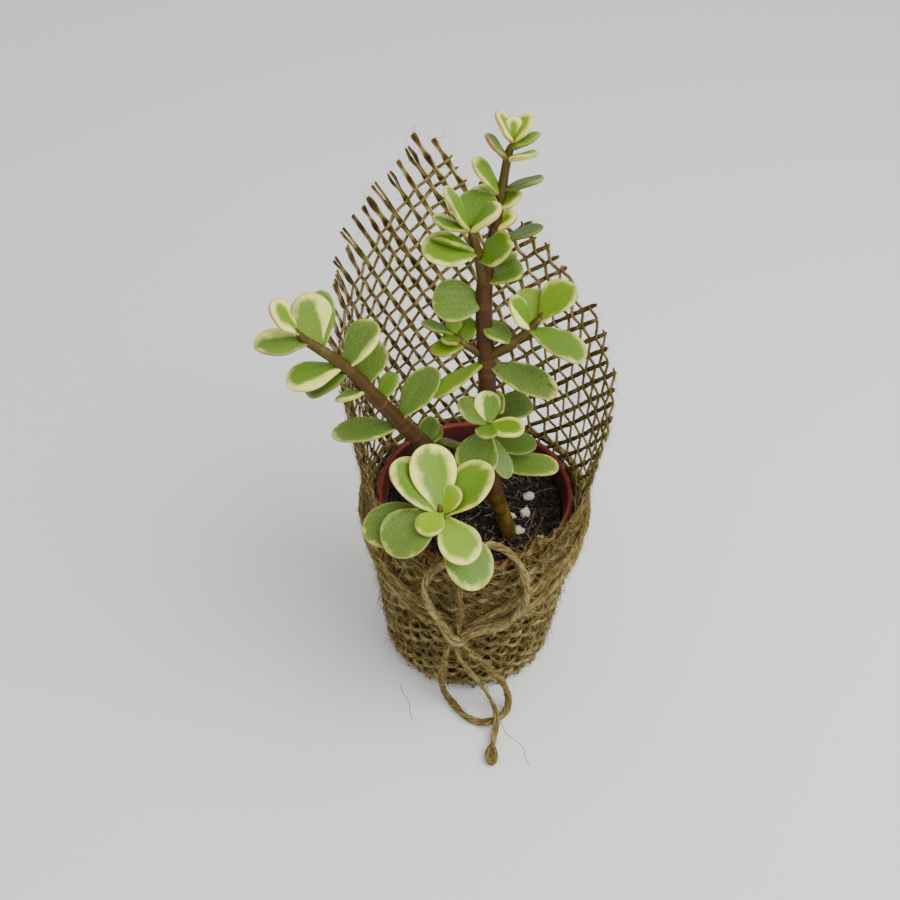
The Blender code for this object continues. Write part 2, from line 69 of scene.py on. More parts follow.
def addCamera():
    pitch, roll = math.radians(view["pitch"]), math.radians(view["roll"])
    right = Vector((1, 0, 0))
    up = Vector((0, math.sin(pitch), math.cos(pitch)))
    ahead = Vector((0, math.cos(pitch), -math.sin(pitch)))
    rolledRight = math.cos(roll) * right + math.sin(roll) * up
    rolledUp = -math.sin(roll) * right + math.cos(roll) * up
    turn = Matrix((rolledRight, rolledUp, -ahead)).transposed()
    bpy.ops.object.camera_add()
    camera = bpy.context.object
    camera.data.lens = view["lens"]
    camera.data.sensor_width = view["sensor"]
    camera.data.clip_start = 0.01
    camera.matrix_world = Matrix.Translation(Vector(view["place"]) * mm) @ turn.to_4x4()
    bpy.context.scene.camera = camera


def addLamp(name, place, target, size, power):
    bpy.ops.object.light_add(type="AREA", location=Vector(place) * mm)
    lamp = bpy.context.object
    lamp.name = name
    lamp.data.size = size * mm
    lamp.data.energy = power
    lamp.rotation_euler = (Vector(target) - Vector(place)).to_track_quat("-Z", "Y").to_euler()


def addStage():
    bpy.ops.mesh.primitive_plane_add(size=stage["floorSize"] * mm)
    floor = bpy.context.object
    floor.name = "floor"
    floor.data.materials.append(plainMaterial("floorPaper", stage["floorColour"], 0.85))
    world = bpy.data.worlds.new("softRoom")
    world.use_nodes = True
    sky = world.node_tree.nodes["Background"]
    sky.inputs["Color"].default_value = (*stage["skyColour"], 1)
    sky.inputs["Strength"].default_value = stage["skyPower"]
    bpy.context.scene.world = world
    for name, (place, target, size, power) in lamps.items():
        addLamp(name, place, target, size, power)


# Node helpers for the materials
def newMaterial(name, roughness):
    made = bpy.data.materials.new(name)
    made.use_nodes = True
    shader = made.node_tree.nodes["Principled BSDF"]
    shader.inputs["Roughness"].default_value = roughness
    return made, made.node_tree, shader


def plainMaterial(name, colour, roughness):
    made, tree, shader = newMaterial(name, roughness)
    shader.inputs["Base Color"].default_value = (*colour, 1)
    return made


def addNode(tree, kind, inputs=None, **settings):
    made = tree.nodes.new(kind)
    for key, value in settings.items():
        setattr(made, key, value)
    for key, value in (inputs or {}).items():
        if isinstance(value, bpy.types.NodeSocket):
            tree.links.new(value, made.inputs[key])
        else:
            made.inputs[key].default_value = value
    return made


def math2(tree, operation, a, b=0.0, clamp=False):
    made = addNode(tree, "ShaderNodeMath", {0: a, 1: b}, operation=operation)
    made.use_clamp = clamp
    return made.outputs[0]


def blendColour(tree, share, a, b, blend="MIX"):
    made = addNode(tree, "ShaderNodeMix", data_type="RGBA", blend_type=blend)
    for socket, value in ((made.inputs[0], share), (made.inputs[6], a), (made.inputs[7], b)):
        if isinstance(value, bpy.types.NodeSocket):
            tree.links.new(value, socket)
        elif isinstance(value, tuple):
            socket.default_value = (*value, 1)
        else:
            socket.default_value = value
    return made.outputs[2]


def ramp(tree, share, stops):
    made = addNode(tree, "ShaderNodeValToRGB", {0: share})
    places = made.color_ramp.elements
    while len(places) < len(stops):
        places.new(0.5)
    for place, (position, colour) in zip(places, stops):
        place.position = position
        place.color = (*colour, 1)
    return made.outputs[0]


def stretchedNoise(tree, vector, scale, stretch, detail=3.0, offset=(0, 0, 0)):
    moved = addNode(tree, "ShaderNodeMapping", {"Vector": vector, "Scale": stretch, "Location": offset})
    made = addNode(tree, "ShaderNodeTexNoise", {"Vector": moved.outputs[0], "Scale": scale, "Detail": detail})
    return made.outputs[0]


def addBump(tree, shader, height, strength, distance):
    made = addNode(tree, "ShaderNodeBump", {"Height": height, "Strength": strength, "Distance": distance})
    tree.links.new(made.outputs[0], shader.inputs["Normal"])


# Mesh helpers: a store gathers rings of points, and becomes one mesh with UVs and paint
def newStore():
    return {"points": [], "quads": [], "quadUv": [], "tris": [], "triUv": [], "paint": [], "count": 0}


def unit(rows):
    return rows / np.maximum(np.linalg.norm(rows, axis=-1, keepdims=True), 1e-9)


def smoothPath(points, step):
    # centripetal spline through the points, then evenly spaced
    rows = [np.array(p, float) for p in points]
    rows = [2 * rows[0] - rows[1]] + rows + [2 * rows[-1] - rows[-2]]
    fine = []
    for a, b, c, d in zip(rows, rows[1:], rows[2:], rows[3:]):
        t1 = np.linalg.norm(b - a) ** 0.5
        t2 = t1 + np.linalg.norm(c - b) ** 0.5
        t3 = t2 + np.linalg.norm(d - c) ** 0.5
        for t in np.linspace(t1, t2, 9)[:-1]:
            ab, bc, cd = a + (b - a) * t / t1, b + (c - b) * (t - t1) / (t2 - t1), c + (d - c) * (t - t2) / (t3 - t2)
            low, high = ab + (bc - ab) * t / t2, bc + (cd - bc) * (t - t1) / (t3 - t1)
            fine.append(low + (high - low) * (t - t1) / (t2 - t1))
    fine = np.array(fine + [rows[-2]])
    run = np.concatenate([[0], np.cumsum(np.linalg.norm(np.diff(fine, axis=0), axis=1))])
    even = np.linspace(0, run[-1], max(2, round(run[-1] / step)) + 1)
    return np.stack([np.interp(even, run, fine[:, k]) for k in range(fine.shape[1])], 1)


def pathLength(path):
    return float(np.linalg.norm(np.diff(path, axis=0), axis=1).sum())


def addRings(store, rings, paint, uvLength, uvStart=0.0, ends=None):
    # rings: count x sides x 3, closed round and capped at both ends
    count, sides, _ = rings.shape
    base = store["count"]
    centres = rings.mean(1) if ends is None else np.array([ends[0], *rings.mean(1)[1:-1], ends[1]])
    store["points"] += [rings.reshape(-1, 3), centres[:1], centres[-1:]]
    store["paint"] += [paint.reshape(-1, 4), paint[:1, 0], paint[-1:, 0]]
    i, k = np.meshgrid(np.arange(count - 1), np.arange(sides), indexing="ij")
    after = (k + 1) % sides
    quad = np.stack([i * sides + k, (i + 1) * sides + k, (i + 1) * sides + after, i * sides + after], -1)
    store["quads"].append(quad.reshape(-1, 4) + base)
    steps = np.linalg.norm(np.diff(rings.mean(1), axis=0), axis=1)
    run = uvStart + np.concatenate([[0], np.cumsum(steps)]) * uvLength
    u0, u1 = k / sides, (k + 1) / sides
    uv = np.stack([u0, run[i], u0, run[i + 1], u1, run[i + 1], u1, run[i]], -1)
    store["quadUv"].append(uv.reshape(-1, 4, 2))
    first, last = base + count * sides, base + count * sides + 1
    k = np.arange(sides)
    after = (k + 1) % sides
    end = base + (count - 1) * sides
    store["tris"] += [np.stack([np.full(sides, first), base + k, base + after], 1),
                      np.stack([np.full(sides, last), end + after, end + k], 1)]
    for place in (run[0], run[-1]):
        flat = np.stack([(k + 0.5) / sides, np.full(sides, place), k / sides, np.full(sides, place),
                         (k + 1) / sides, np.full(sides, place)], 1)
        store["triUv"].append(flat.reshape(-1, 3, 2))
    store["count"] += count * sides + 2


def addStrand(store, path, normals, wide, thick, paint, sides=6, spin=0.0, outline=None,
              uvLength=0.1, uvStart=0.0):
    # a tube with an oval or lobed section; paint is one row of four numbers, or one for each point
    path = np.asarray(path, float)
    count = len(path)
    along = unit(np.gradient(path, axis=0))
    side = unit(np.cross(along, normals))
    face = np.cross(side, along)
    theta = np.arange(sides) * 2 * math.pi / sides
    lobes = np.ones(sides) if outline is None else np.array([outline(t) for t in theta])
    wide, thick, spin = (np.broadcast_to(v, count)[:, None] for v in (wide, thick, spin))
    a = wide * np.cos(theta) * lobes
    b = thick * np.sin(theta) * lobes
    across = a * np.cos(spin) - b * np.sin(spin)
    above = a * np.sin(spin) + b * np.cos(spin)
    rings = path[:, None] + across[..., None] * side[:, None] + above[..., None] * face[:, None]
    colours = np.broadcast_to(np.asarray(paint, float).reshape(-1, 1, 4), (count, sides, 4))
    addRings(store, rings, colours, uvLength, uvStart)
    return along


def addHairs(store, roots, ways, bends, lengths, radius, paint, steps=3):
    # many tapered hairs at once, three-sided, each curving from its own way towards its bend
    count = len(roots)
    share = np.linspace(0, 1, steps + 1)
    curve = (roots[:, None] + ways[:, None] * lengths[:, None, None] * share[None, :, None]
             + bends[:, None] * lengths[:, None, None] * share[None, :, None] ** 2)
    along = unit(np.gradient(curve, axis=1))
    guide = np.where(np.abs(along[..., 2:3]) > 0.9, [[[1.0, 0, 0]]], [[[0, 0, 1.0]]])
    side = unit(np.cross(along, guide))
    face = np.cross(side, along)
    theta = np.arange(3) * 2 * math.pi / 3
    size = radius[:, None] * (1 - 0.55 * share[None, :])
    rings = (curve[:, :, None] + size[..., None, None] * (np.cos(theta)[None, None, :, None] * side[:, :, None]
             + np.sin(theta)[None, None, :, None] * face[:, :, None]))[:, :-1]
    points = np.concatenate([rings.reshape(count, -1, 3), curve[:, -1:]], 1)
    each = steps * 3 + 1
    base = store["count"] + np.arange(count)[:, None] * each
    quads, tris = [], [[0, 1, 2]]
    for i in range(steps - 1):
        quads += [[i * 3 + k, i * 3 + 3 + k, i * 3 + 3 + (k + 1) % 3, i * 3 + (k + 1) % 3] for k in range(3)]
    tris += [[steps * 3 - 3 + (k + 1) % 3, steps * 3 - 3 + k, steps * 3] for k in range(3)]
    quads, tris = np.array(quads), np.array(tris)
    store["points"].append(points.reshape(-1, 3))
    store["paint"].append(np.repeat(paint, each, axis=0))
    store["quads"].append((base[..., None] + quads[None]).reshape(-1, 4))
    store["tris"].append((base[..., None] + tris[None]).reshape(-1, 3))
    store["quadUv"].append(np.zeros((count * len(quads), 4, 2)))
    store["triUv"].append(np.zeros((count * len(tris), 3, 2)))
    store["count"] += count * each


def finishStore(name, store, material, replaced=()):
    points = np.concatenate(store["points"]) * mm
    quads = np.concatenate(store["quads"]) if store["quads"] else np.zeros((0, 4), int)
    tris = np.concatenate(store["tris"]) if store["tris"] else np.zeros((0, 3), int)
    mesh = bpy.data.meshes.new(name)
    mesh.vertices.add(len(points))
    mesh.vertices.foreach_set("co", points.ravel())
    corners = np.concatenate([quads.ravel(), tris.ravel()])
    mesh.loops.add(len(corners))
    mesh.loops.foreach_set("vertex_index", corners)
    starts = np.concatenate([np.arange(len(quads)) * 4, len(quads) * 4 + np.arange(len(tris)) * 3])
    mesh.polygons.add(len(starts))
    mesh.polygons.foreach_set("loop_start", starts)
    mesh.update(calc_edges=True)
    uv = np.concatenate([np.concatenate(store["quadUv"]).reshape(-1, 2) if len(quads) else np.zeros((0, 2)),
                         np.concatenate(store["triUv"]).reshape(-1, 2) if len(tris) else np.zeros((0, 2))])
    mesh.uv_layers.new(name="UVMap").data.foreach_set("uv", uv.ravel())
    paint = mesh.attributes.new("paint", "FLOAT_COLOR", "POINT")
    paint.data.foreach_set("color", np.concatenate(store["paint"]).astype(np.float32).ravel())
    mesh.shade_smooth()
    mesh.materials.append(material)
    made = bpy.data.objects.new(name, mesh)
    bpy.context.scene.collection.objects.link(made)
    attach(made, "root")
    if replaced:
        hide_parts(*replaced)
    print("made", name, len(quads) * 2 + len(tris), "triangles")
    return made


def radial(angles, tilt=0.0):
    # outward directions for angles from straight back, in radians
    return np.stack([np.sin(angles) * math.cos(tilt), np.cos(angles) * math.cos(tilt),
                     np.full(np.shape(angles), -math.sin(tilt))], -1)


# Jute fibre: streaks along the yarn, from dark olive brown to pale straw
def fibreMaterial(name, dark, middle, light, streaks, contrast):
    made, tree, shader = newMaterial(name, 0.88)
    place = addNode(tree, "ShaderNodeUVMap", uv_map="UVMap").outputs[0]
    paint = addNode(tree, "ShaderNodeAttribute", attribute_name="paint")
    tone, flatness, _ = addNode(tree, "ShaderNodeSeparateColor", {0: paint.outputs["Color"]}).outputs
    streak = stretchedNoise(tree, place, 1.0, (streaks, 2.6, 1.0), 4.0)
    patch = stretchedNoise(tree, place, 1.0, (2.0, 7.0, 1.0), 2.0, (7, 3, 0))
    mixed = math2(tree, "ADD", math2(tree, "MULTIPLY", streak, contrast), math2(tree, "MULTIPLY", patch, 0.50))
    around = addNode(tree, "ShaderNodeSeparateXYZ", {0: place}).outputs[0]
    halfTurn = math2(tree, "FRACT", math2(tree, "MULTIPLY", around, 2.0))
    side = math2(tree, "ABSOLUTE", math2(tree, "SUBTRACT", halfTurn, 0.5))
    core = math2(tree, "MULTIPLY", math2(tree, "SUBTRACT", math2(tree, "MULTIPLY", side, 1.5), 0.33), flatness)
    mixed = math2(tree, "ADD", mixed, core)
    shade = math2(tree, "ADD", math2(tree, "SUBTRACT", mixed, 0.5 * contrast + 0.25), tone, clamp=True)
    colour = ramp(tree, shade, [(0.0, dark), (0.45, middle), (1.0, light)])
    tree.links.new(colour, shader.inputs["Base Color"])
    shader.inputs["Specular IOR Level"].default_value = 0.2
    addBump(tree, shader, streak, 0.7, 0.0004)
    return made


# Twine: two plies twisted together, in two turns round the jute, a knot, two loops and a tail
twine = {"diameter": 2.45, "tailPly": 1.1, "layLength": 24.0, "turnLay": 32.0, "knot": (-4.4, -35.4, 41.0),
         "lightTone": 0.56}
topLoop = [(-5.2, -36.4, 42.0), (-9.5, -36.2, 49), (-12.5, -36.8, 57), (-14, -37.2, 65),
           (-12.5, -36.4, 71.5), (-8, -34.4, 74), (-2.5, -30.5, 74), (2.5, -26.5, 73),
           (7, -26.2, 72), (11, -29.5, 72), (14, -33.5, 70), (15.5, -36, 64), (14, -36.6, 56),
           (8.5, -37.2, 48.5), (2.6, -37.4, 46.0), (-2.4, -36.9, 42.6)]
lowLoop = [(-5.4, -36.0, 38.6), (-6.9, -36.4, 33.8), (-7.8, -35.6, 26), (-8.4, -34.2, 18), (-8, -33, 11),
           (-7, -32.4, 5.5), (-5, -33.2, 2.2), (-2.2, -36.4, 1.65), (1.4, -39.5, 1.65),
           (5.7, -40.5, 1.65), (10, -39.2, 1.65), (13, -36, 1.7), (13.7, -33.6, 4),
           (12.6, -32.5, 9), (10.6, -32.8, 14.5), (7.5, -33.8, 21), (3.4, -35.4, 29),
           (-0.9, -36.2, 34.7), (-2.6, -36.0, 38.6)]
tailRoute = [(-4.0, -36.4, 37.5), (-3.4, -37.0, 33.5), (-0.8, -36.6, 26.5), (3.4, -35.4, 17), (6.4, -34.4, 9),
             (8.2, -35, 5.2), (9.3, -37.4, 4.3), (9.8, -40.4, 4.3), (9.4, -44, 2.8), (8.6, -49, 1.6)]
upperTurn = [(-173, 42.3), (-165, 46.6), (-150, 50.5), (-140, 54), (-130, 57.5), (-110, 61.5),
             (-60, 64), (0, 64), (60, 64), (110, 63), (130, 62), (140, 60), (150, 56.5),
             (165, 51), (184, 43)]
lowerTurn = [(-174, 40.4), (-165, 41), (-150, 43), (-140, 46), (-130, 49.5), (-110, 53.5),
             (-60, 56), (0, 56), (60, 56), (110, 54), (130, 51.5), (140, 49.5), (150, 46.5),
             (165, 43.6), (184, 41)]
middleTurn = [(-173, 41.2), (-165, 43.8), (-150, 46.8), (-140, 50), (-130, 53.6), (-110, 57.6),
              (-60, 60.2), (0, 60.2), (60, 60.2), (110, 60.4), (130, 59.3), (140, 57.4), (150, 54.2),
              (165, 49), (184, 42)]
wrapInner = (24.2, 30.7)   # inside of the jute at the floor and at the rim
potHeight = 68.0


def wrapInside(height):
    return wrapInner[0] + (wrapInner[1] - wrapInner[0]) * height / potHeight


def twoPlies(theta):
    # outline of two round plies side by side, with the groove between them filled by fibres
    offset, ply = 0.25, 0.73
    reach = offset * abs(math.cos(theta)) + math.sqrt(ply ** 2 - (offset * math.sin(theta)) ** 2)
    return reach


def addTwine(store, points, diameter, tone, chance, step=0.5, lay=twine["layLength"]):
    path = smoothPath(points, step)
    along = unit(np.gradient(path, axis=0))
    normals = np.zeros_like(path)
    start = np.array((0.3, -0.2, 1.0))
    for i, way in enumerate(along):
        start = unit(start - way * np.dot(start, way))
        normals[i] = start
    run = np.arange(len(path)) * pathLength(path) / (len(path) - 1)
    spin = run * 2 * math.pi / lay + chance.uniform(0, 6)
    swell = 1 + 0.07 * np.sin(run * 0.9 + chance.uniform(0, 6)) + 0.05 * np.sin(run * 2.3)
    half = diameter / 2 * swell
    addStrand(store, path, normals, half, half, (tone, 0.12, 0, chance.random()), sides=18, spin=spin,
              outline=twoPlies, uvLength=0.1, uvStart=chance.random() * 5)
    return path


def onSleeve(rows, out):
    # places given as degrees from straight back and height, laid on the wound jute
    flat = smoothPath([(a / 2, h) for a, h in rows], 3.0)
    angles, heights = np.radians(flat[:, 0] * 2), flat[:, 1]
    reach = wrapInside(heights) + out
    return np.stack([reach * np.sin(angles), reach * np.cos(angles), heights], 1)


def addTail(store, chance):
    # the end of the twine has come untwisted: its two plies lie side by side
    path = smoothPath(tailRoute, 0.5)
    along = unit(np.gradient(path, axis=0))
    side = unit(np.cross(along, [0.3, -0.5, 0.8]))
    run = np.linspace(0, 1, len(path))[:, None]
    normals = np.cross(side, along)
    for sign in (-1, 1):
        part = (0.34 + 0.22 * np.sin(run * 9)) * sign
        ply = path + side * part * np.cos(run * 7) + normals * part * np.sin(run * 7)
        addStrand(store, ply, normals, twine["tailPly"] / 2, twine["tailPly"] / 2,
                  (twine["lightTone"], 0, 0, chance.random()), sides=10)
    return path


def buildTwine():
    chance = random.Random(11)
    look = fibreMaterial("twineFibre", (0.024, 0.014, 0.001), (0.102, 0.068, 0.012), (0.46, 0.36, 0.16), 15.0, 1.35)
    paths = {}
    for name, route, tone, node in (("twineTopLoop", topLoop, 0.60, "bow_loop_top"),
                                    ("twineLowLoop", lowLoop, 0.47, "bow_loop_low")):
        store = newStore()
        path = addTwine(store, route, twine["diameter"], tone, chance)
        made = finishStore(name, store, look, [node])
        paths[name] = path
    tail = newStore()
    path = addTail(tail, chance)
    paths["twineTail"] = path
    tailPiece = finishStore("twineTail", tail, look, ["twine_tail"])
    end = newStore()
    knotPath = smoothPath([(8.5, -48.8, 1.9), (7.6, -50.2, 2.2), (6.9, -52.4, 2.2), (7.4, -54.6, 1.8),
                           (8.4, -55.2, 1.7), (9.4, -54.3, 1.8), (9.5, -52, 2.3), (8.8, -50, 2.6),
                           (8.2, -49.4, 3.0)], 0.35)
    flatUp = np.tile([0.0, 0, 1], (len(knotPath), 1))
    addStrand(end, knotPath, flatUp, 0.75, 0.75, (0.5, 0, 0, 0.3), sides=10)
    fillPath = smoothPath([(8.2, -49.5, 2.0), (8.2, -51.5, 1.9), (8.3, -54.4, 1.6)], 0.4)
    addStrand(end, fillPath, np.tile([0.0, 0, 1], (len(fillPath), 1)), 0.9, 0.8, (0.42, 0, 0, 0.7), sides=10)
    knotPiece = finishStore("twineTailKnot", end, look, ["tail_knot"])
    turns = newStore()
    out = 2.5 + 0.5 + 0.35 + twine["diameter"] / 2
    for name, rows, tone, gap in (("upper", upperTurn, 0.52, 0), ("lower", lowerTurn, 0.58, 0), ("middle", middleTurn, 0.46, 0.3)):
        route = onSleeve(rows, out - gap)
        paths[name] = addTwine(turns, route, twine["diameter"], tone, chance, 0.5, twine["turnLay"])
    kx, ky, kz = twine["knot"]
    knots = [  # the band of the knot round the bundle, and the strands that cross behind it
        [(kx - 4.2, ky + 1.2, kz + 3.0), (kx - 3.0, ky - 1.2, kz + 1.6), (kx - 0.5, ky - 2.4, kz - 0.6),
         (kx + 1.9, ky - 1.4, kz - 1.6), (kx + 3.6, ky + 0.9, kz - 0.6)],
        [(kx - 3.9, ky + 0.8, kz - 2.6), (kx - 1.6, ky - 0.9, kz - 2.0), (kx + 1.4, ky - 1.0, kz + 1.4),
         (kx + 4.2, ky + 0.2, kz + 3.6)],
        [(kx - 1.6, ky + 0.6, kz + 4.6), (kx - 1.1, ky - 1.4, kz + 2.4), (kx + 0.6, ky - 1.9, kz + 0.9),
         (kx + 2.6, ky - 0.6, kz - 2.6)],
        [(kx + 0.4, ky + 1.6, kz + 22.0), (kx + 0.8, ky - 0.2, kz + 17.0), (kx + 1.1, ky - 0.8, kz + 10.0),
         (kx + 0.6, ky - 1.2, kz + 3.4)],
    ]
    for points, tone in zip(knots, (0.62, 0.52, 0.56, 0.44)):
        paths[f"knot{len(paths)}"] = addTwine(turns, points, twine["diameter"] * 0.86, tone, chance, 0.4)
    finishStore("twineTurns", turns, look, ["twine_turns"])
    return paths, look


# Jute net: two families of yarn woven one over one, wound flat on a cone behind the plant
net = {"weftGap": 4.35, "warpGap": 4.0, "origin": (8.9, 88.7), "warpTilt": 61.5, "weftTilt": 38.8,
       "rightLine": (9.3, 89.2, 42.0), "rightSlack": -0.3, "peak": 97.0,
       "cone": 8.0, "turn": -27.0, "rimRadius": 32.4, "weave": 0.36, "wobble": 0.22,
       "warpHalf": (0.74, 1.06), "warpHalfRight": (0.52, 0.66), "weftHalf": (0.60, 0.72), "thick": 0.36,
       "fringe": (11.0, 13.2), "firstFringe": {0: 7.9, -1: 14.1}, "bits": 4.5,
       "backLeft": -112.0, "backRight": 88.0}
front = {"left": -96.0, "right": -290.0, "warpPitch": 4.2, "weftPitch": 2.75, "lift": 0.75, "sag": 0.5,
         "warpHalf": 0.66, "weftHalf": 0.93, "out": 2.2, "top": 69.4,
         "climb": (2.6, -218.0, 22.0), "lean": 0.55}


def smoothStep(low, high, value):
    share = np.clip((value - low) / (high - low), 0, 1)
    return share * share * (3 - 2 * share)


def onCone(flat):
    # flat cloth, across and up from the rim, to radius, angle and height
    apex = net["rimRadius"] / math.sin(math.radians(net["cone"]))
    reach = np.hypot(flat[..., 0], flat[..., 1] + apex)
    spread = math.sin(math.radians(net["cone"]))
    angle = np.arctan2(flat[..., 0], flat[..., 1] + apex) / spread + math.radians(net["turn"])
    height = (reach - apex) * math.cos(math.radians(net["cone"])) + potHeight
    onPot = wrapInside(np.minimum(height, potHeight)) + 1.0
    blend = smoothStep(potHeight - 12, potHeight, height)
    return onPot + (reach * spread - onPot) * blend, angle, height


def frontEdge(degrees):
    # height of the cloth's free edge above the rim where its sides come round to the front
    left = np.where(degrees < -98, 46 - 1.25 * (-98 - degrees), net["peak"])
    return np.where(degrees > 100, 27 - 0.6 * (degrees - 100), left)


def inNet(flat, row):
    startX, startY, slope = net["rightLine"]
    slope = math.radians(slope)
    beyond = (flat[..., 0] - startX) * math.sin(slope) + (flat[..., 1] - startY) * math.cos(slope)
    radius, angle, height = onCone(flat)
    degrees = np.degrees(angle)
    above = height - potHeight
    behind = (degrees > net["backLeft"]) & (degrees < net["backRight"])
    lowOk = np.where(behind, above > -66.5, above > -5)
    turned = np.abs(degrees - net["turn"]) < 172
    return (row >= 0) & (beyond < net["rightSlack"]) & lowOk & (above < frontEdge(degrees)) & turned


def runsOf(kept):
    # stretches of crossings that follow on each other
    runs, start = [], None
    for place, inside in enumerate(list(kept) + [False]):
        if inside and start is None:
            start = place
        elif not inside and start is not None:
            runs.append((start, place - 1))
            start = None
    return runs


def catmull(points, shares):
    # spline through rows of points at fractional places
    count = len(points)
    padded = np.concatenate([[2 * points[0] - points[1]], points, [2 * points[-1] - points[-2]]])
    base = np.clip(np.floor(shares).astype(int), 0, count - 2)
    t = (shares - base)[:, None]
    a, b, c, d = (padded[base + k] for k in range(4))
    return 0.5 * (2 * b + (c - a) * t + (2 * a - 5 * b + 4 * c - d) * t ** 2 + (3 * b - a - 3 * c + d) * t ** 3)


def addNetYarns(store, hairRoots, chance):
    tiltA, tiltB = math.radians(net["warpTilt"]), math.radians(net["weftTilt"])
    warp = np.array((math.cos(tiltA), -math.sin(tiltA)))
    weft = np.array((math.cos(tiltB), math.sin(tiltB)))
    size = 60
    index = np.arange(-size, size + 1)
    i, j = np.meshgrid(index, index, indexing="ij")
    shiftA = np.array([chance.uniform(-0.8, 0.8) for _ in index])
    shiftB = np.array([chance.uniform(-0.3, 0.3) for _ in index])
    for k in range(3, len(index) - 3):   # here and there two warps have slid together
        if chance.random() < 0.12:
            shiftA[k] += 1.2
    shiftA[size - 1:size + 1] = 0
    base = np.array(net["origin"]) + i[..., None] * net["weftGap"] * warp + j[..., None] * net["warpGap"] * weft
    base = base + shiftA[j + size][..., None] * weft + shiftB[i + size][..., None] * warp
    wave = np.stack([np.sin(base[..., 0] * 0.11 + 1.3) * np.cos(base[..., 1] * 0.13),
                     np.cos(base[..., 0] * 0.09) * np.sin(base[..., 1] * 0.10 + 0.6)], -1)
    base = base + wave * net["wobble"] * 2
    kept = inNet(base, i)
    for family in ("warp", "weft"):
        for line in range(len(index)):
            column = kept[:, line] if family == "warp" else kept[line, :]
            places = base[:, line] if family == "warp" else base[line, :]
            for first, last in runsOf(column):
                if last - first < 1:
                    continue
                addNetYarn(store, hairRoots, chance, family, places, first, last, line, warp, weft, size)


def addNetYarn(store, hairRoots, chance, family, places, first, last, line, warp, weft, size):
    isWarp = family == "warp"
    pitch = net["weftGap"] if isWarp else net["warpGap"]
    startExtra, endExtra = chance.uniform(0.15, 0.5), chance.uniform(0.15, 0.6)
    above = onCone(places[first])[2] - potHeight
    fringed = isWarp and first == size
    if fringed:
        ragged = chance.uniform(*net["fringe"]) + 0.10 * max(0, -places[first][0] - 10)
        startExtra = net["firstFringe"].get(line - size, ragged) / pitch
    elif isWarp and above > 6 and places[first][0] < 0:
        startExtra = chance.uniform(3.0, 6.0) / pitch
    lastAbove = onCone(places[last])[2] - potHeight
    if not isWarp and lastAbove > 4:
        endExtra = chance.uniform(0.8, 2.8) / pitch
    knots = np.arange(first, last + 1)
    steps = int((last - first + startExtra + endExtra) * net["bits"]) + 2
    shares = np.linspace(-startExtra, last - first + endExtra, steps)
    flat = catmull(places[knots], np.maximum(shares, -0.5))
    flat = flat + np.minimum(shares + 0.5, 0)[:, None] * pitch * (warp if isWarp else weft)
    index = shares + first + line
    angle = onCone(flat)[1]
    rightness = smoothStep(-0.2, 0.75, angle)
    if isWarp:   # warps snake between the wefts on the right
        flat = flat + (np.cos(math.pi * index) * 0.5 * rightness)[:, None] * weft
    radius, angle, height = onCone(flat)
    over = np.cos(math.pi * index) * (1 if isWarp else -1)
    loose = np.maximum(0, -shares) + np.maximum(0, shares - (last - first))
    bend = chance.uniform(-0.35, 0.5)
    radius = radius + over * net["weave"] * np.exp(-loose * 1.5) + bend * loose ** 1.3
    path = np.stack([radius * np.sin(angle), radius * np.cos(angle), height], 1)
    path[:, 2] = np.maximum(path[:, 2], 0.5)
    normals = radial(angle, math.radians(net["cone"]))
    if isWarp:
        half = chance.uniform(*net["warpHalf"]) * (1 - rightness) + chance.uniform(*net["warpHalfRight"]) * rightness
        half = half * (0.90 + 0.14 * over * (1 - rightness))
    else:
        half = net["weftHalf"][0] + (net["weftHalf"][1] - net["weftHalf"][0]) * rightness
    half = half * (1 + 0.08 * np.sin(np.arange(len(path)) * 0.7 + chance.uniform(0, 6)))
    toEnd = np.minimum(shares + startExtra, last - first + endExtra - shares) * pitch
    taper = 0.88 + 0.12 * np.clip(toEnd / 0.5, 0, 1) if fringed else 0.5 + 0.5 * np.clip(toEnd / 1.2, 0, 1)
    # painted shade: the wefts darken towards the right, where the fan turns away from the light
    tone = (0.50 + 0.04 * rightness) if isWarp else (0.50 - 0.10 * rightness)
    # painted light and shade: alternate crossings are darker and lighter, standing in for the shade where one yarn
    # passes under the other
    tone = tone - (0.24 * over * (1 - rightness) * np.clip(toEnd / 3, 0, 1) if isWarp else 0.05 * over)
    tone = tone - 0.12 * np.clip(1 - toEnd / 5, 0, 1) * (1 if fringed else 0) + chance.uniform(-0.08, 0.08)
    flatness = (0.9 - 0.9 * rightness) if isWarp else 0 * tone
    paint = np.stack([tone, flatness, 0 * tone, 0 * tone + chance.random()], 1)
    twist = chance.uniform(-0.25, 0.25) + 0.25 * np.sin(np.arange(len(path)) * 0.35)
    split = fringed and chance.random() < 0.35   # some fringe ends have parted into two strands
    across = unit(np.cross(unit(np.gradient(path, axis=0)), normals))
    part = (0.32 + 0.42 * smoothStep(0.2, 2.2, loose))[:, None] * half[:, None] * across
    for sign in (-1, 1) if split else (0,):
        addStrand(store, path + part * sign, normals, half * taper * (0.62 if split else 1), net["thick"] * taper,
                  paint, sides=6, spin=twist, uvStart=chance.random() * 9)
    along = unit(np.gradient(path, axis=0))
    hairRoots.append(np.concatenate([path, along, normals], 1))


def frontReach(heights, degrees):
    # the top edge leans in over the rim
    over = np.maximum(0, heights - potHeight + 1.0)
    return wrapInside(np.minimum(heights, potHeight)) + front["out"] - front["lean"] * over


def frontTop(degrees):
    rise, middle, spread = front["climb"]
    return front["top"] + rise * np.exp(-((degrees - middle) / spread) ** 2)


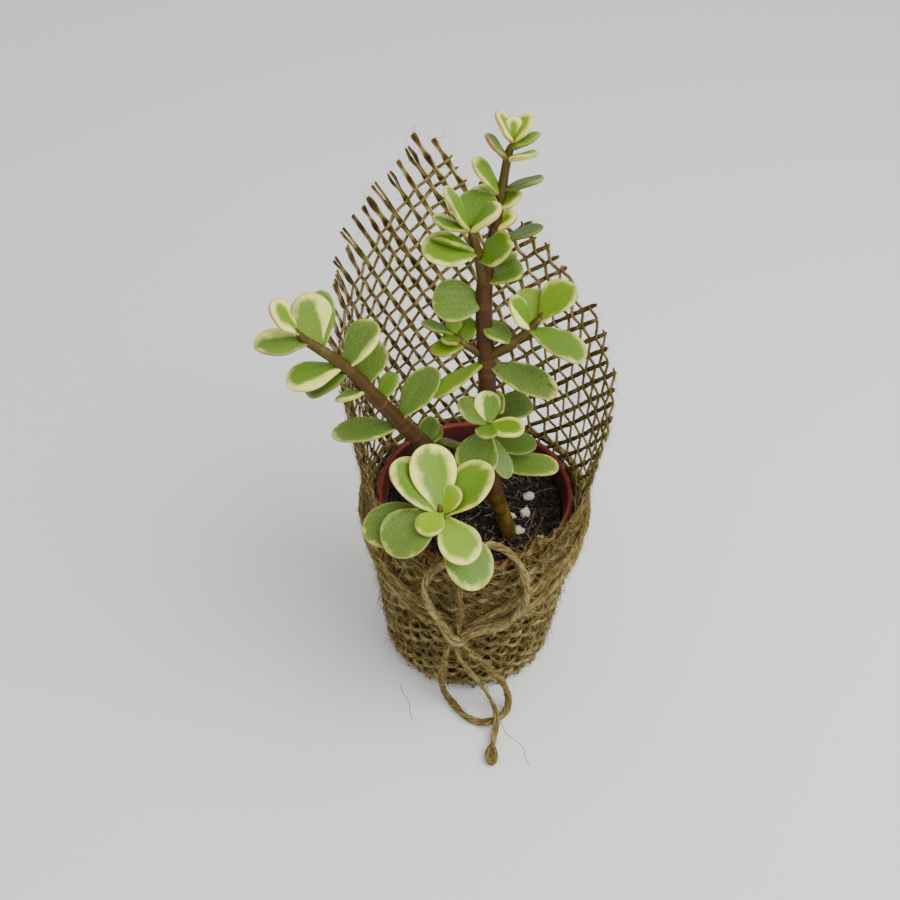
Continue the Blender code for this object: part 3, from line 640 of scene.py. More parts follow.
def addFrontYarns(store, hairRoots, chance):
    # the wound end of the cloth: upright warps, and wefts that sag over every second warp
    span = math.radians(front["left"] - front["right"])
    middle = wrapInside(potHeight / 2) + front["out"]
    warps = round(span * middle / front["warpPitch"])
    rowCount = int((front["top"] - 1.6) / front["weftPitch"])
    lean = [chance.uniform(-0.25, 0.25) for _ in range(warps + 1)]
    for w in range(warps + 1):
        top = frontTop(front["left"] - math.degrees(span) * w / warps)
        heights = np.linspace(top + chance.uniform(-1.0, 1.5), chance.uniform(0.35, 1.6), 80)
        rows = (top - heights) / (top - 1.2) * rowCount
        angle = math.radians(front["left"]) - span * (w + lean[w] + 0.12 * np.sin(heights * 0.2 + w)) / warps
        over = -np.cos(math.pi * (rows + w))
        flare = 0.3 * np.clip((5 - heights) / 5, 0, 1) ** 1.5
        radius = frontReach(heights, np.degrees(angle)) + 0.45 * over + flare
        path = np.stack([radius * np.sin(angle), radius * np.cos(angle), heights], 1)
        taper = 0.5 + 0.5 * np.clip(np.minimum(heights - heights[-1], heights[0] - heights) / 2.0, 0, 1)
        # painted light and shade: the warp is lighter where it rides out over a weft and darker where it dips in
        tone = 0.42 + 0.06 * over + chance.uniform(-0.06, 0.06)
        paint = np.stack([tone, 0 * tone, 0 * tone, 0 * tone + chance.random()], 1)
        normals = radial(angle)
        addStrand(store, path, normals, front["warpHalf"] * taper, 0.42 * taper, paint, sides=6,
                  uvStart=chance.random() * 9)
        hairRoots.append(np.concatenate([path, unit(np.gradient(path, axis=0)), normals], 1))
    for r in range(rowCount):
        nudge = chance.uniform(-0.35, 0.35)
        extra = chance.uniform(0.05, 0.75), chance.uniform(0, 0.3)
        place = np.linspace(-extra[0], warps + extra[1], warps * 6)
        angle = math.radians(front["left"]) - span * place / warps
        over = np.cos(math.pi * (place + r))
        wander = 0.7 * np.sin(place * 0.55 + r * 1.7) + 0.35 * np.sin(place * 1.3 + r * 2.9)
        top = frontTop(np.degrees(angle))
        level = top - 0.8 - (top - 2.0) * r / rowCount + nudge
        heights = level - front["sag"] * over + wander * 0.6
        radius = frontReach(heights, np.degrees(angle)) + front["lift"] * over + 0.12 * np.sin(place * 2.1 + r)
        path = np.stack([radius * np.sin(angle), radius * np.cos(angle), heights], 1)
        half = front["weftHalf"] * (0.85 + 0.25 * over) * (1 + 0.22 * np.sin(place * 1.9 + r * 2.2))
        # painted light and shade: the weft is lighter on the loops that stand out and darker in the dips between them
        tone = 0.50 + 0.07 * over + chance.uniform(-0.09, 0.09) + 0.08 * np.sin(place * 0.8 + r)
        paint = np.stack([tone, 0 * tone, 0 * tone, 0 * tone + chance.random()], 1)
        normals = radial(angle)
        addStrand(store, path, normals, half, 0.58, paint, sides=6, uvStart=chance.random() * 9)
        hairRoots.append(np.concatenate([path, unit(np.gradient(path, axis=0)), normals], 1))


def addInnerLayer(store, chance):
    # the cloth's first winding, seen only through the gaps of the outer one, painted very dark as shade
    spans = np.linspace(math.radians(front["left"]) + 0.2, math.radians(front["right"]) - 0.2, 90)
    heights = np.linspace(64.5, 0.6, 34)
    bumps = np.array([[chance.uniform(-0.12, 0.12) for _ in heights] for _ in spans])
    inside = np.stack([wrapInside(heights) + 0.12] * len(spans)) + 0 * bumps
    outside = inside + 0.35 + bumps + 0.12
    ring = np.concatenate([outside, inside[:, ::-1]], 1)
    level = np.concatenate([heights, heights[::-1]])
    rings = np.stack([ring * np.sin(spans)[:, None], ring * np.cos(spans)[:, None],
                      np.broadcast_to(level, ring.shape)], -1)
    rings = rings[:, ::-1]
    # painted shade: a very dark tone for the shade under the outer winding
    colours = np.full((len(spans), len(level), 4), (0.10, 0, 0, 0.5))
    addRings(store, rings, colours, 0.1)


def buildNet():
    chance = random.Random(23)
    look = fibreMaterial("juteFibre", (0.020, 0.012, 0.001), (0.100, 0.068, 0.011), (0.46, 0.37, 0.17), 9.0, 1.2)
    store = newStore()
    fanRoots, frontRoots = [], []
    addNetYarns(store, fanRoots, chance)
    print("net yarns", store["count"])
    addFrontYarns(store, frontRoots, chance)
    addInnerLayer(store, chance)
    made = finishStore("juteNet", store, look, ["jute_wrap"])
    return made, look, np.concatenate(fanRoots), np.concatenate(frontRoots)


# Loose fibres that stand off the jute and the twine
fuzz = {"fan": 8500, "front": 7000, "curly": 1600, "strands": 1500, "strandThick": (0.06, 0.14), "twine": 2600,
        "thick": (0.035, 0.070),
        "frontThick": (0.045, 0.095)}
fallen = [[(-21.9, -26.5, 0.15), (-20.7, -29.6, 0.2), (-18.6, -33, 0.15), (-18.1, -36.7, 0.2), (-17.3, -39.7, 0.15)],
          [(11.2, -39.3, 0.15), (13.1, -43.2, 0.2), (16.2, -46, 0.15), (18.7, -48.8, 0.2), (19, -51.7, 0.15),
           (20.2, -54.4, 0.15)]]


def scatterHairs(store, draw, rows, count, lengths, stand, curl, tone, steps=3, thick=fuzz["thick"]):
    picks = draw.integers(0, len(rows), count)
    roots, along, out = rows[picks, :3], rows[picks, 3:6], rows[picks, 6:9]
    sign = draw.choice([-1.0, 1.0], count)[:, None]
    side = np.cross(along, out)
    ways = unit(along * sign + side * draw.normal(0, 0.55, (count, 1))
                + out * np.abs(draw.normal(0, stand, (count, 1))))
    bends = draw.normal(0, curl, (count, 3)) + side * draw.normal(0, curl, (count, 1))
    bends = bends - out * ((bends * out).sum(1, keepdims=True) * 0.75 + 0.08)
    roots = roots + out * draw.uniform(0.1, 0.45, (count, 1)) + side * draw.uniform(-0.4, 0.4, (count, 1))
    length = draw.uniform(*lengths, count)
    radius = draw.uniform(*thick, count)
    tones = np.clip(draw.normal(tone, 0.20, count), 0.05, 1.0)
    paint = np.stack([tones, 0 * tones, 0 * tones, draw.random(count)], 1)
    tips = roots + (ways + bends) * length[:, None]
    low, high = np.array(cadBox[0]) / mm - (2, 2, -0.3), np.array(cadBox[1]) / mm + 2.5
    fine = (roots[:, 2] > 0.3) & (tips > low).all(1) & (tips < high).all(1)
    addHairs(store, roots[fine], ways[fine], bends[fine], length[fine], radius[fine], paint[fine], steps)


def buildFuzz(look, twineLook, fanRows, frontRows, twinePaths):
    draw = np.random.default_rng(5)
    fan, wound, loose, cord = newStore(), newStore(), newStore(), newStore()
    scatterHairs(fan, draw, fanRows, fuzz["fan"], (1.5, 5.0), 0.3, 0.45, 0.50)
    scatterHairs(wound, draw, frontRows, fuzz["front"], (1.2, 4.2), 0.22, 0.45, 0.52, 3, fuzz["frontThick"])
    high = frontRows[frontRows[:, 2] > 44]
    scatterHairs(wound, draw, high, fuzz["curly"], (3.0, 6.5), 0.3, 0.8, 0.62, 6)
    scatterHairs(loose, draw, frontRows, fuzz["strands"], (3.0, 7.0), 0.12, 0.5, 0.62, 5, fuzz["strandThick"])
    scatterHairs(loose, draw, high, fuzz["strands"], (3.0, 8.0), 0.15, 0.6, 0.60, 5, fuzz["strandThick"])
    for points in fallen:   # single fibres that have dropped on the table
        path = smoothPath(points, 0.8)
        addStrand(loose, path, np.tile([0.0, 0, 1], (len(path), 1)), 0.06, 0.06, (0.42, 0, 0, 0.5), sides=4)
    rows = []
    for path in twinePaths.values():
        along = unit(np.gradient(path, axis=0))
        out = unit(np.cross(along, draw.normal(0, 1, path.shape)))
        rows.append(np.concatenate([path + out * 0.9, along, out], 1))
    scatterHairs(cord, draw, np.concatenate(rows), fuzz["twine"], (1.2, 4.0), 0.25, 0.35, 0.66)
    pieces = [finishStore("juteFuzzFan", fan, look), finishStore("juteFuzzFront", wound, look),
              finishStore("juteStrands", loose, look), finishStore("twineFuzz", cord, twineLook)]
    return pieces


# Pot: moulded brick-red plastic with a rolled rim and four drainage holes
pot = {"sides": 128, "height": 68.0, "rim": 30.0, "band": 6.0, "base": 22.5, "shoulder": 28.4, "wall": 1.1,
       "floor": 1.4, "plastic": ((0.130, 0.011, 0.004), (0.200, 0.022, 0.008)),
       "stainedAndShaded": ((0.022, 0.005, 0.003), (0.085, 0.012, 0.006)), "drainRing": 14.0, "drainRadius": 2.6, "drains": 4}


def plasticMaterial(name, hues, roughness):
    made, tree, shader = newMaterial(name, roughness)
    place = addNode(tree, "ShaderNodeTexCoord").outputs["Object"]
    cloud = stretchedNoise(tree, place, 60.0, (1, 1, 1), 3.0)
    fine = stretchedNoise(tree, place, 900.0, (1, 1, 1), 2.0)
    colour = ramp(tree, cloud, [(0.35, hues[0]), (0.65, hues[1])])
    tree.links.new(colour, shader.inputs["Base Color"])
    addBump(tree, shader, fine, 0.15, 0.0003)
    return made


def buildPot():
    bpy.ops.object.select_all(action="DESELECT")
    band = pot["height"] - pot["band"]
    innerTop, innerBase = pot["rim"] - pot["wall"] - 0.6, pot["base"] - pot["wall"]
    steps = [(pot["base"] - 0.8, 0), (pot["base"] - 0.2, 0.2), (pot["base"], 0.8), (pot["shoulder"], band - 0.3),
             (pot["shoulder"] + 0.4, band), (pot["rim"] - 0.5, band + 0.1), (pot["rim"], band + 0.6),
             (pot["rim"], pot["height"] - 0.8), (pot["rim"] - 0.15, pot["height"] - 0.3),
             (pot["rim"] - 0.5, pot["height"]), (innerTop + 0.5, pot["height"]),
             (innerTop + 0.15, pot["height"] - 0.3), (innerTop, pot["height"] - 0.8),
             (pot["shoulder"] - pot["wall"], band), (innerBase, pot["floor"] + 0.6),
             (innerBase - 0.6, pot["floor"])]
    radius, height = steps[0]
    bpy.ops.mesh.primitive_circle_add(vertices=pot["sides"], radius=radius * mm, fill_type="NGON")
    made = bpy.context.object
    bpy.ops.object.mode_set(mode="EDIT")
    bpy.ops.mesh.select_all(action="SELECT")
    for nextRadius, nextHeight in steps[1:]:
        rise = (0, 0, (nextHeight - height) * mm)
        bpy.ops.mesh.extrude_region_move(TRANSFORM_OT_translate={"value": rise})
        grow = nextRadius / radius
        bpy.ops.transform.resize(value=(grow, grow, 1), center_override=(0, 0, nextHeight * mm))
        radius, height = nextRadius, nextHeight
    bpy.ops.mesh.select_all(action="SELECT")
    bpy.ops.mesh.normals_make_consistent(inside=False)
    bpy.ops.object.mode_set(mode="OBJECT")
    for k in range(pot["drains"]):
        turn = 2 * math.pi * (k + 0.5) / pot["drains"]
        spot = (pot["drainRing"] * math.cos(turn) * mm, pot["drainRing"] * math.sin(turn) * mm, 0)
        bpy.ops.mesh.primitive_cylinder_add(vertices=32, radius=pot["drainRadius"] * mm, depth=8 * mm,
                                            location=spot)
        drill = bpy.context.object
        hole = made.modifiers.new("Drain", "BOOLEAN")
        hole.operation = "DIFFERENCE"
        hole.object = drill
        bpy.context.view_layer.objects.active = made
        bpy.ops.object.modifier_apply(modifier=hole.name)
        bpy.data.objects.remove(drill)
    made.name = made.data.name = "nurseryPot"
    made.data.materials.append(plasticMaterial("potPlastic", pot["plastic"], 0.42))
    # the inner wall below the lip is darker: partly real soil stain, partly painted shade
    made.data.materials.append(plasticMaterial("potInside", pot["stainedAndShaded"], 0.6))
    for face in made.data.polygons:
        spot = face.center / mm
        inward = face.normal.x * spot.x + face.normal.y * spot.y < 0
        if inward and spot.z < pot["height"] - 0.9:
            face.material_index = 1
    made.data.shade_smooth()
    made.data.set_sharp_from_angle(angle=math.radians(40))
    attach(made, "root")
    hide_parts("pot")
    print("made nurseryPot")


# Stems: x, y, z, radius along each branch
stems = {
    "main": [(10.5, -12, 49, 2.3), (10.5, -12, 62, 2.4), (8.5, -11.5, 69, 2.4), (6, -11, 77, 2.5),
             (3, -9, 92, 2.5), (1.5, -7, 104, 2.6), (1.5, -5, 114, 2.6), (1, -3, 123, 2.5),
             (0, 0, 131, 2.4), (-0.5, 3, 144, 2.2), (0.5, 6, 154, 1.6), (1.5, 8, 159, 1.4),
             (2.5, 11, 165, 1.3), (4, 16, 175, 1.1), (5, 17, 178, 0.9)],
    "fork": [(0, 2, 140, 1.6), (-1.5, 3, 148, 1.5), (-3, 3, 155, 1.3), (-5, 4, 160, 1.0)],
    "east": [(0.5, -2.5, 121, 1.2), (2.5, -3, 125, 1.4), (6, -3, 128, 1.3), (10, -2, 131, 1.2),
             (13, -1, 134, 1.1), (14.5, 0, 136, 0.9)],
    "west": [(1, -3, 123, 1.2), (-2.5, -2.5, 126, 1.2), (-6, -2, 128, 1.0), (-8, -1, 130, 0.8)],
    "bud": [(2.5, -8, 98, 1.2), (2, -11, 104, 1.2), (2, -14, 109, 1.0)],
    "left": [(-2, -2, 49, 2.2), (-2, -2, 62, 2.2), (-4, -3, 69, 2.3), (-8, -5, 80, 2.4),
             (-15, -9, 95, 2.4), (-22, -13, 108, 2.3), (-28.5, -17, 121, 2.1), (-34, -20, 132, 1.8),
             (-39, -22, 139, 1.5), (-45, -23, 145, 1.2), (-46.5, -24, 148, 0.9)],
    "front": [(-4, -19, 49, 1.6), (-4, -19, 62, 1.6), (-5, -22, 69, 1.6), (-6.5, -27, 77, 1.6),
              (-8, -32, 86, 1.5), (-9, -34.5, 92, 1.4), (-10, -36, 97.5, 1.1)],
}
stemAge = {"main": 0.85, "fork": 0.25, "east": 0.2, "west": 0.25, "bud": 0.3, "left": 0.7, "front": 0.35}

# Leaf looks: cream on the minus and plus side and the tip, pink rim, age, shade, spots; shade darkens the whole leaf,
# partly for its own deeper green and partly as painted shade for leaves in shadow
leafLooks = {
    "creamSides": (0.50, 0.50, 0.30, 0.25, 0.30, 1.0, 0),
    "upperCream": (0.62, 0.02, 0.30, 0.60, 0.42, 0.88, 0),
    "pinkRim": (0.05, 0.05, 0.12, 1.0, 0.45, 0.80, 0),
    "vividCream": (0.26, 0.26, 0.34, 0.20, 0.12, 0.90, 0),
    "pinkSides": (0.60, 0.60, 0.40, 0.95, 0.30, 1.0, 0),
    "creamRim": (0.24, 0.24, 0.22, 0.12, 0.42, 1.0, 0),
    "thinRim": (0.05, 0.05, 0.06, 0.05, 0.90, 1.0, 0),
    "spotted": (0.06, 0.10, 0.10, 0.05, 0.95, 0.92, 1),
    "green": (0.02, 0.02, 0.03, 0.05, 0.50, 0.92, 0),
    "greenRim": (0.14, 0.14, 0.20, 0.05, 0.45, 0.84, 0),
    "dark": (0.0, 0.0, 0.0, 0.05, 0.55, 0.58, 0),
    "olive": (0.05, 0.0, 0.0, 0.05, 0.15, 0.42, 0),
    "bright": (0.05, 0.05, 0.05, 0.10, 0.25, 0.90, 0),
    "brightRim": (0.12, 0.22, 0.18, 0.10, 0.20, 0.82, 0),
    "lime": (0.10, 0.10, 0.14, 0.45, 0.0, 1.0, 0),
    "limeCream": (0.38, 0.38, 0.46, 0.15, 0.05, 1.0, 0),
    "pinkish": (0.75, 0.75, 0.50, 1.0, 0.2, 1.0, 0),
    "halfMinus": (0.90, 0.08, 0.22, 0.35, 0.42, 0.92, 0),
    "partMinus": (0.42, 0.05, 0.10, 0.1, 0.92, 1.0, 0),
    "splitMinus": (0.84, 0.18, 0.28, 0.7, 0.32, 0.78, 0),
    "halfPlus": (0.10, 0.90, 0.25, 0.25, 0.45, 1.0, 0),
}

# Leaves: height on the stem, azimuth from +X, elevation, length, width, roll, look
leaves = {
    "main": [
        (178, 175, 60, 9, 7.5, 0, "pinkSides"), (178, 95, 70, 6.5, 5, 0, "pinkish"),
        (178, 15, 58, 8.5, 7, 0, "limeCream"), (176.5, 345, 36, 9, 4.5, 0, "bright"),
        (174, 335, 28, 9, 4.5, -10, "creamSides"), (174, 185, 52, 9, 5.5, 0, "pinkRim"),
        (166, 165, 50, 12, 7, 0, "creamRim"), (167, 350, 27, 11.5, 6.5, -12, "dark"),
        (163, 20, 35, 7, 6.5, 0, "creamSides"), (163, 130, 12, 9, 9, 0, "pinkish"),
        (155, 350, 24, 14.5, 7.5, -12, "dark"), (158, 20, 35, 7, 6, 0, "pinkish"),
        (149, 350, 36, 8.5, 9, -55, "thinRim"), (145, 10, 18, 10.5, 10.5, 0, "thinRim"),
        (139, 188, 4, 14, 12.5, -28, "thinRim"), (123, 212, -19, 18, 8, 20, "bright"),
        (122, 338, -10, 21, 11.5, 0, "spotted"), (92, 165, 6, 17, 7, 38, "olive"),
        (106, 10, 12, 13.5, 11, 0, "dark"), (96, 0, 2, 14, 9.5, 0, "dark"),
        (90, 349, 4, 20, 9.5, 0, "thinRim")],
    "fork": [
        (160, 180, 60, 14, 9, 0, "creamRim"), (160, 72, 32, 11.5, 10.5, 0, "green"),
        (160, 5, 42, 10.5, 8, 0, "halfMinus"), (160, 195, 25, 11, 6.5, 0, "halfMinus"),
        (154, 196, 13, 15, 11, -20, "creamRim"), (152, 348, 38, 10.5, 11, 22, "greenRim"),
        (154, 188, 24, 13, 6.5, 35, "green")],
    "east": [
        (129.4, 165, 24, 9, 8, 0, "thinRim"), (133, 165, 53, 10.5, 9, 0, "halfPlus"),
        (133, 76, 28, 12, 12.0, 0, "bright"), (136, 35, 36, 12.5, 11, 0, "brightRim"),
        (133, 335, -12, 17, 11, 0, "greenRim")],
    "west": [
        (130, 175, 20, 9.5, 6, 20, "green"), (127.5, 200, -4, 9.5, 6, 0, "bright"),
        (128, 60, 40, 7, 6, 0, "green"), (130, 100, 60, 5, 4.5, 0, "bright"),
        (129, 230, 20, 6, 5, 0, "green")],
    "bud": [
        (109, 155, 33, 10.5, 8.5, 0, "thinRim"), (109, 95, 42, 9.5, 7.5, 0, "halfPlus"),
        (109, 340, 8, 10.5, 8.5, 0, "creamSides"), (109, 265, 15, 7, 6.5, 0, "green"),
        (105, 247, -40, 13.5, 12.5, 0, "thinRim"), (102, 305, -35, 14, 6, 0, "thinRim"),
        (103, 72, 46, 12, 6.5, 0, "creamRim")],
    "left": [
        (148, 170, 50, 10, 9, 0, "pinkSides"), (144, 195, 3, 13.5, 10, 0, "upperCream"),
        (141, 128, 60, 15, 11.5, 0, "splitMinus"), (141, 92, 50, 15, 7, 0, "green"),
        (135, 205, -10, 15, 10.5, 0, "halfPlus"), (133, 205, -18, 12.5, 8.5, 0, "dark"),
        (134, 50, 40, 14, 10, 0, "partMinus"), (126, 70, 40, 12, 8.5, 0, "thinRim"),
        (118.5, 62, 30, 9, 5.5, 0, "green"), (124.5, 215, 0, 9.5, 5.5, 25, "creamRim"),
        (106.5, 192, -4, 20, 9.5, 0, "thinRim"), (109.5, 42, 35, 17.5, 10.5, 0, "thinRim"),
        (95, 80, 30, 9, 6, 0, "thinRim"), (95, 50, 20, 7, 4, 0, "green")],
    "front": [
        (97.5, 108, 42, 18.5, 13, 0, "creamSides"), (96.5, 148, 34, 19, 12.5, 0, "creamRim"),
        (95.5, 30, 40, 19, 13.5, 0, "creamRim"), (97.5, 210, -22, 18, 14.5, -10, "thinRim"),
        (91.5, 188, -4, 22.5, 14, -15, "thinRim"), (95.5, 303, -20, 15.5, 12, 0, "vividCream"),
        (89.5, 307, -30, 20, 14, 0, "greenRim"), (97.5, 238, -6, 9, 8.2, 0, "lime"),
        (97, 38, 48, 8.5, 7, 0, "lime")],
}
leafHues = {"lime": (0.215, 0.345, 0.001), "green": (0.085, 0.190, 0.005), "sage": (0.080, 0.140, 0.015),
            "vein": (0.200, 0.280, 0.035), "band": (0.200, 0.265, 0.030), "deep": (0.035, 0.075, 0.004), "bloom": (0.290, 0.360, 0.120),
            "creamLow": (0.640, 0.700, 0.085), "creamHigh": (0.940, 0.890, 0.260),
            "pink": (0.330, 0.060, 0.120), "line": (0.240, 0.120, 0.050), "spot": (0.020, 0.022, 0.005)}
leafShape = {"depth": 1.7, "foot": 0.7, "cup": 0.12, "widest": 0.62, "sides": 20, "stations": 22}


def leafMaterial():
    made, tree, shader = newMaterial("leafSkin", 0.44)
    place = addNode(tree, "ShaderNodeUVMap", uv_map="UVMap").outputs[0]
    first = addNode(tree, "ShaderNodeAttribute", attribute_name="paint")
    edge, cream, pink = addNode(tree, "ShaderNodeSeparateColor", {0: first.outputs["Color"]}).outputs
    age = first.outputs["Alpha"]
    second = addNode(tree, "ShaderNodeAttribute", attribute_name="shadeAndSpots")
    shade, spots, top = addNode(tree, "ShaderNodeSeparateColor", {0: second.outputs["Color"]}).outputs
    streak = stretchedNoise(tree, place, 1.0, (8.0, 0.9, 1.0), 4.0)
    blotch = stretchedNoise(tree, place, 1.0, (2.6, 1.8, 1.0), 3.0, (3, 9, 0))
    fine = stretchedNoise(tree, place, 1.0, (26.0, 21.0, 1.0), 3.0)
    young = blendColour(tree, math2(tree, "MULTIPLY", age, 2.0, True), leafHues["lime"], leafHues["green"])
    old = math2(tree, "SUBTRACT", math2(tree, "MULTIPLY", age, 2.0), 1.0, True)
    green = blendColour(tree, old, young, leafHues["sage"])
    # paler streaks along the blade, and a pale band inside its margin
    veins = math2(tree, "MULTIPLY", math2(tree, "SUBTRACT", streak, 0.47), 3.0, True)
    green = blendColour(tree, math2(tree, "MULTIPLY", veins, 0.38), green, leafHues["vein"])
    band = math2(tree, "MULTIPLY", math2(tree, "SUBTRACT", edge, 0.52), 2.2, True)
    green = blendColour(tree, math2(tree, "MULTIPLY", band, 0.22), green, leafHues["band"])
    pits = math2(tree, "MULTIPLY", math2(tree, "SUBTRACT", 0.50, fine), 4.0, True)
    green = blendColour(tree, math2(tree, "MULTIPLY", pits, 0.55), green, leafHues["deep"])
    bloom = math2(tree, "MULTIPLY", math2(tree, "SUBTRACT", fine, 0.52), 3.5, True)
    bloom = math2(tree, "MULTIPLY", bloom, math2(tree, "ADD", math2(tree, "MULTIPLY", age, 0.5), 0.05))
    green = blendColour(tree, bloom, green, leafHues["bloom"])
    ragged = math2(tree, "MULTIPLY", math2(tree, "SUBTRACT", blotch, 0.5), 0.80)
    jagged = math2(tree, "MULTIPLY", math2(tree, "SUBTRACT", streak, 0.5), 0.25)
    reach = math2(tree, "ADD", math2(tree, "ADD", edge, ragged), jagged)
    limit = math2(tree, "SUBTRACT", 1.0, cream)
    mask = math2(tree, "ADD", math2(tree, "MULTIPLY", math2(tree, "SUBTRACT", reach, limit), 2.6), 0.15, True)
    rim = math2(tree, "MULTIPLY", math2(tree, "SUBTRACT", edge, 0.93), 18.0, True)
    rim = math2(tree, "MULTIPLY", rim, math2(tree, "ADD", math2(tree, "MULTIPLY", cream, 1.6), 0.16, True))
    mask = math2(tree, "MAXIMUM", mask, math2(tree, "MINIMUM", rim, 0.62))
    creamy = blendColour(tree, blotch, leafHues["creamLow"], leafHues["creamHigh"])
    colour = blendColour(tree, mask, green, creamy)
    blush = math2(tree, "MULTIPLY", math2(tree, "SUBTRACT", edge, 0.88), 7.0, True)
    blush = math2(tree, "MULTIPLY", math2(tree, "MULTIPLY", blush, pink), 0.75, True)
    colour = blendColour(tree, blush, colour, leafHues["pink"])
    # the very margin is a thin dry line
    line = math2(tree, "MULTIPLY", math2(tree, "SUBTRACT", edge, 0.965), 40.0, True)
    colour = blendColour(tree, math2(tree, "MULTIPLY", line, 0.42), colour, leafHues["line"])
    dots = addNode(tree, "ShaderNodeTexVoronoi", {"Vector": place, "Scale": 8.0})
    dot = math2(tree, "MULTIPLY", math2(tree, "SUBTRACT", 0.26, dots.outputs["Distance"]), 12.0, True)
    dot = math2(tree, "MULTIPLY", math2(tree, "MULTIPLY", dot, spots), math2(tree, "GREATER_THAN", blotch, 0.50))
    colour = blendColour(tree, math2(tree, "MULTIPLY", dot, 0.8), colour, leafHues["spot"])
    # partly painted shade: the leaf colour is multiplied by its shade value
    dim = addNode(tree, "ShaderNodeCombineColor", {0: shade, 1: shade, 2: shade}).outputs[0]
    colour = blendColour(tree, 1.0, colour, dim, "MULTIPLY")
    tree.links.new(colour, shader.inputs["Base Color"])
    shader.inputs["Specular IOR Level"].default_value = 0.28
    shader.inputs["Subsurface Weight"].default_value = 0.12
    shader.inputs["Subsurface Radius"].default_value = (0.6, 1.0, 0.2)
    shader.inputs["Subsurface Scale"].default_value = 0.0012
    relief = math2(tree, "ADD", streak, math2(tree, "MULTIPLY", fine, 0.8))
    addBump(tree, shader, relief, 0.30, 0.0004)
    return made


def halfWidth(share):
    # half width as a share of the widest, from foot to round tip
    past = np.clip((share - leafShape["widest"]) / (1 - leafShape["widest"]), 0, 1)
    tip = np.sqrt(1 - past ** 2.2)
    foot = 0.12 + 0.88 * np.sin(math.pi / 2 * np.minimum(share / leafShape["widest"], 1)) ** 1.35
    return np.where(share > leafShape["widest"], tip, foot)


def stemPoint(rows, height):
    rows = np.array(rows, float)
    return np.array([np.interp(height, rows[:, 2], rows[:, k]) for k in range(3)])


def addLeaf(store, shadeAndSpots, foot, leaf, chance):
    height, azimuth, elevation, length, width, roll, look = leaf
    minus, plus, tip, pink, age, shade, spots = leafLooks[look]
    az, el, ro = (math.radians(v) for v in (azimuth, elevation, roll))
    ahead = np.array((math.cos(el) * math.cos(az), math.cos(el) * math.sin(az), math.sin(el)))
    level = np.array((-math.sin(az), math.cos(az), 0))
    up = np.cross(ahead, level)
    side = math.cos(ro) * level + math.sin(ro) * up
    face = math.cos(ro) * up - math.sin(ro) * level
    sides = leafShape["sides"]
    share = 1 - (1 - np.linspace(0, 0.985, leafShape["stations"])) ** 1.35
    share = np.append(share, 0.997)
    half = np.maximum(0.35, width / 2 * halfWidth(share))
    thick = leafShape["depth"] / 2 * np.minimum(1, 0.55 + 2 * share)
    thick = thick * np.sqrt(np.maximum(0.02, 1 - np.clip((share - 0.72) / 0.28, 0, 1) ** 2.4))
    theta = (np.arange(sides) + 0.0) * 2 * math.pi / sides
    flatX = np.sign(np.cos(theta)) * np.abs(np.cos(theta)) ** 0.72
    flatZ = np.sign(np.sin(theta)) * np.abs(np.sin(theta)) ** 0.85
    across = half[:, None] * flatX
    bend = chance.uniform(-0.04, 0.05) * length
    wave = 0.22 * np.sin(share[:, None] * 9 + flatX * 2 + chance.uniform(0, 6)) * np.abs(flatX) ** 2
    above = thick[:, None] * flatZ + leafShape["cup"] * np.abs(across) ** 1.6 / 1.6 + wave
    above = above + (bend * share ** 2)[:, None] - 0.10 * leafShape["depth"]
    run = (length + leafShape["foot"]) * share - leafShape["foot"]
    rings = foot + run[:, None, None] * ahead + across[..., None] * side + above[..., None] * face
    tipRing = np.clip((share - leafShape["widest"]) / (1 - leafShape["widest"]), 0, 1)[:, None]
    sideways = np.where(tipRing > 0, across / (width / 2), across / half[:, None])
    edge = np.sqrt(sideways ** 2 + tipRing ** 2)
    tipness = smoothStep(0.35, 1.0, tipRing / np.maximum(edge, 1e-6))
    # the minus side comes first, and both fade into the tip's share
    sideCream = minus + (plus - minus) * smoothStep(-0.15, 0.15, sideways)
    cream = sideCream + (tip - sideCream) * tipness
    footFade = smoothStep(0.0, 0.25, share)[:, None]
    cream = cream * (0.4 + 0.6 * footFade)
    full = np.ones_like(edge)
    paint = np.stack([edge, cream, pink * full, age * full], -1)
    topSide = np.broadcast_to((flatZ > 0).astype(float), edge.shape)
    # the leaf's shade value, partly painted shade, with a little random spread
    light = shade * chance.uniform(0.92, 1.06)
    shadeAndSpots.append(np.stack([light * full, spots * full, topSide, full], -1).reshape(-1, 4))
    shadeAndSpots.append(np.array([[light, spots, 0, 1.0]] * 2))
    ends = (rings[0].mean(0) - ahead * 0.2, rings[-1].mean(0))
    before = len(store["quadUv"])
    addRings(store, rings, paint, 0.0, 0.0, ends)
    # the pattern lies in the leaf's own plane: across and along
    shift = chance.uniform(0, 20)
    plane = np.stack([across / 10 + shift, np.broadcast_to(run[:, None] / 10 + shift, across.shape)], -1)
    count = len(share)
    i, k = np.meshgrid(np.arange(count - 1), np.arange(sides), indexing="ij")
    after = (k + 1) % sides
    uv = np.stack([plane[i, k], plane[i + 1, k], plane[i + 1, after], plane[i, after]], 2)
    store["quadUv"][before] = uv.reshape(-1, 4, 2)
    k = np.arange(sides)
    after = (k + 1) % sides
    store["triUv"][-2] = np.stack([plane[0].mean(0) + 0 * plane[0, k], plane[0, k], plane[0, after]], 1)
    store["triUv"][-1] = np.stack([plane[-1].mean(0) + 0 * plane[-1, k], plane[-1, after], plane[-1, k]], 1)


def buildLeaves(name, branches, material, node, seed):
    chance = random.Random(seed)
    store, shadeAndSpots = newStore(), []
    for branch in branches:
        for leaf in leaves[branch]:
            addLeaf(store, shadeAndSpots, stemPoint(stems[branch], leaf[0]), leaf, chance)
    made = finishStore(name, store, material, [node])
    second = made.data.attributes.new("shadeAndSpots", "FLOAT_COLOR", "POINT")
    second.data.foreach_set("color", np.concatenate(shadeAndSpots).astype(np.float32).ravel())
    return made


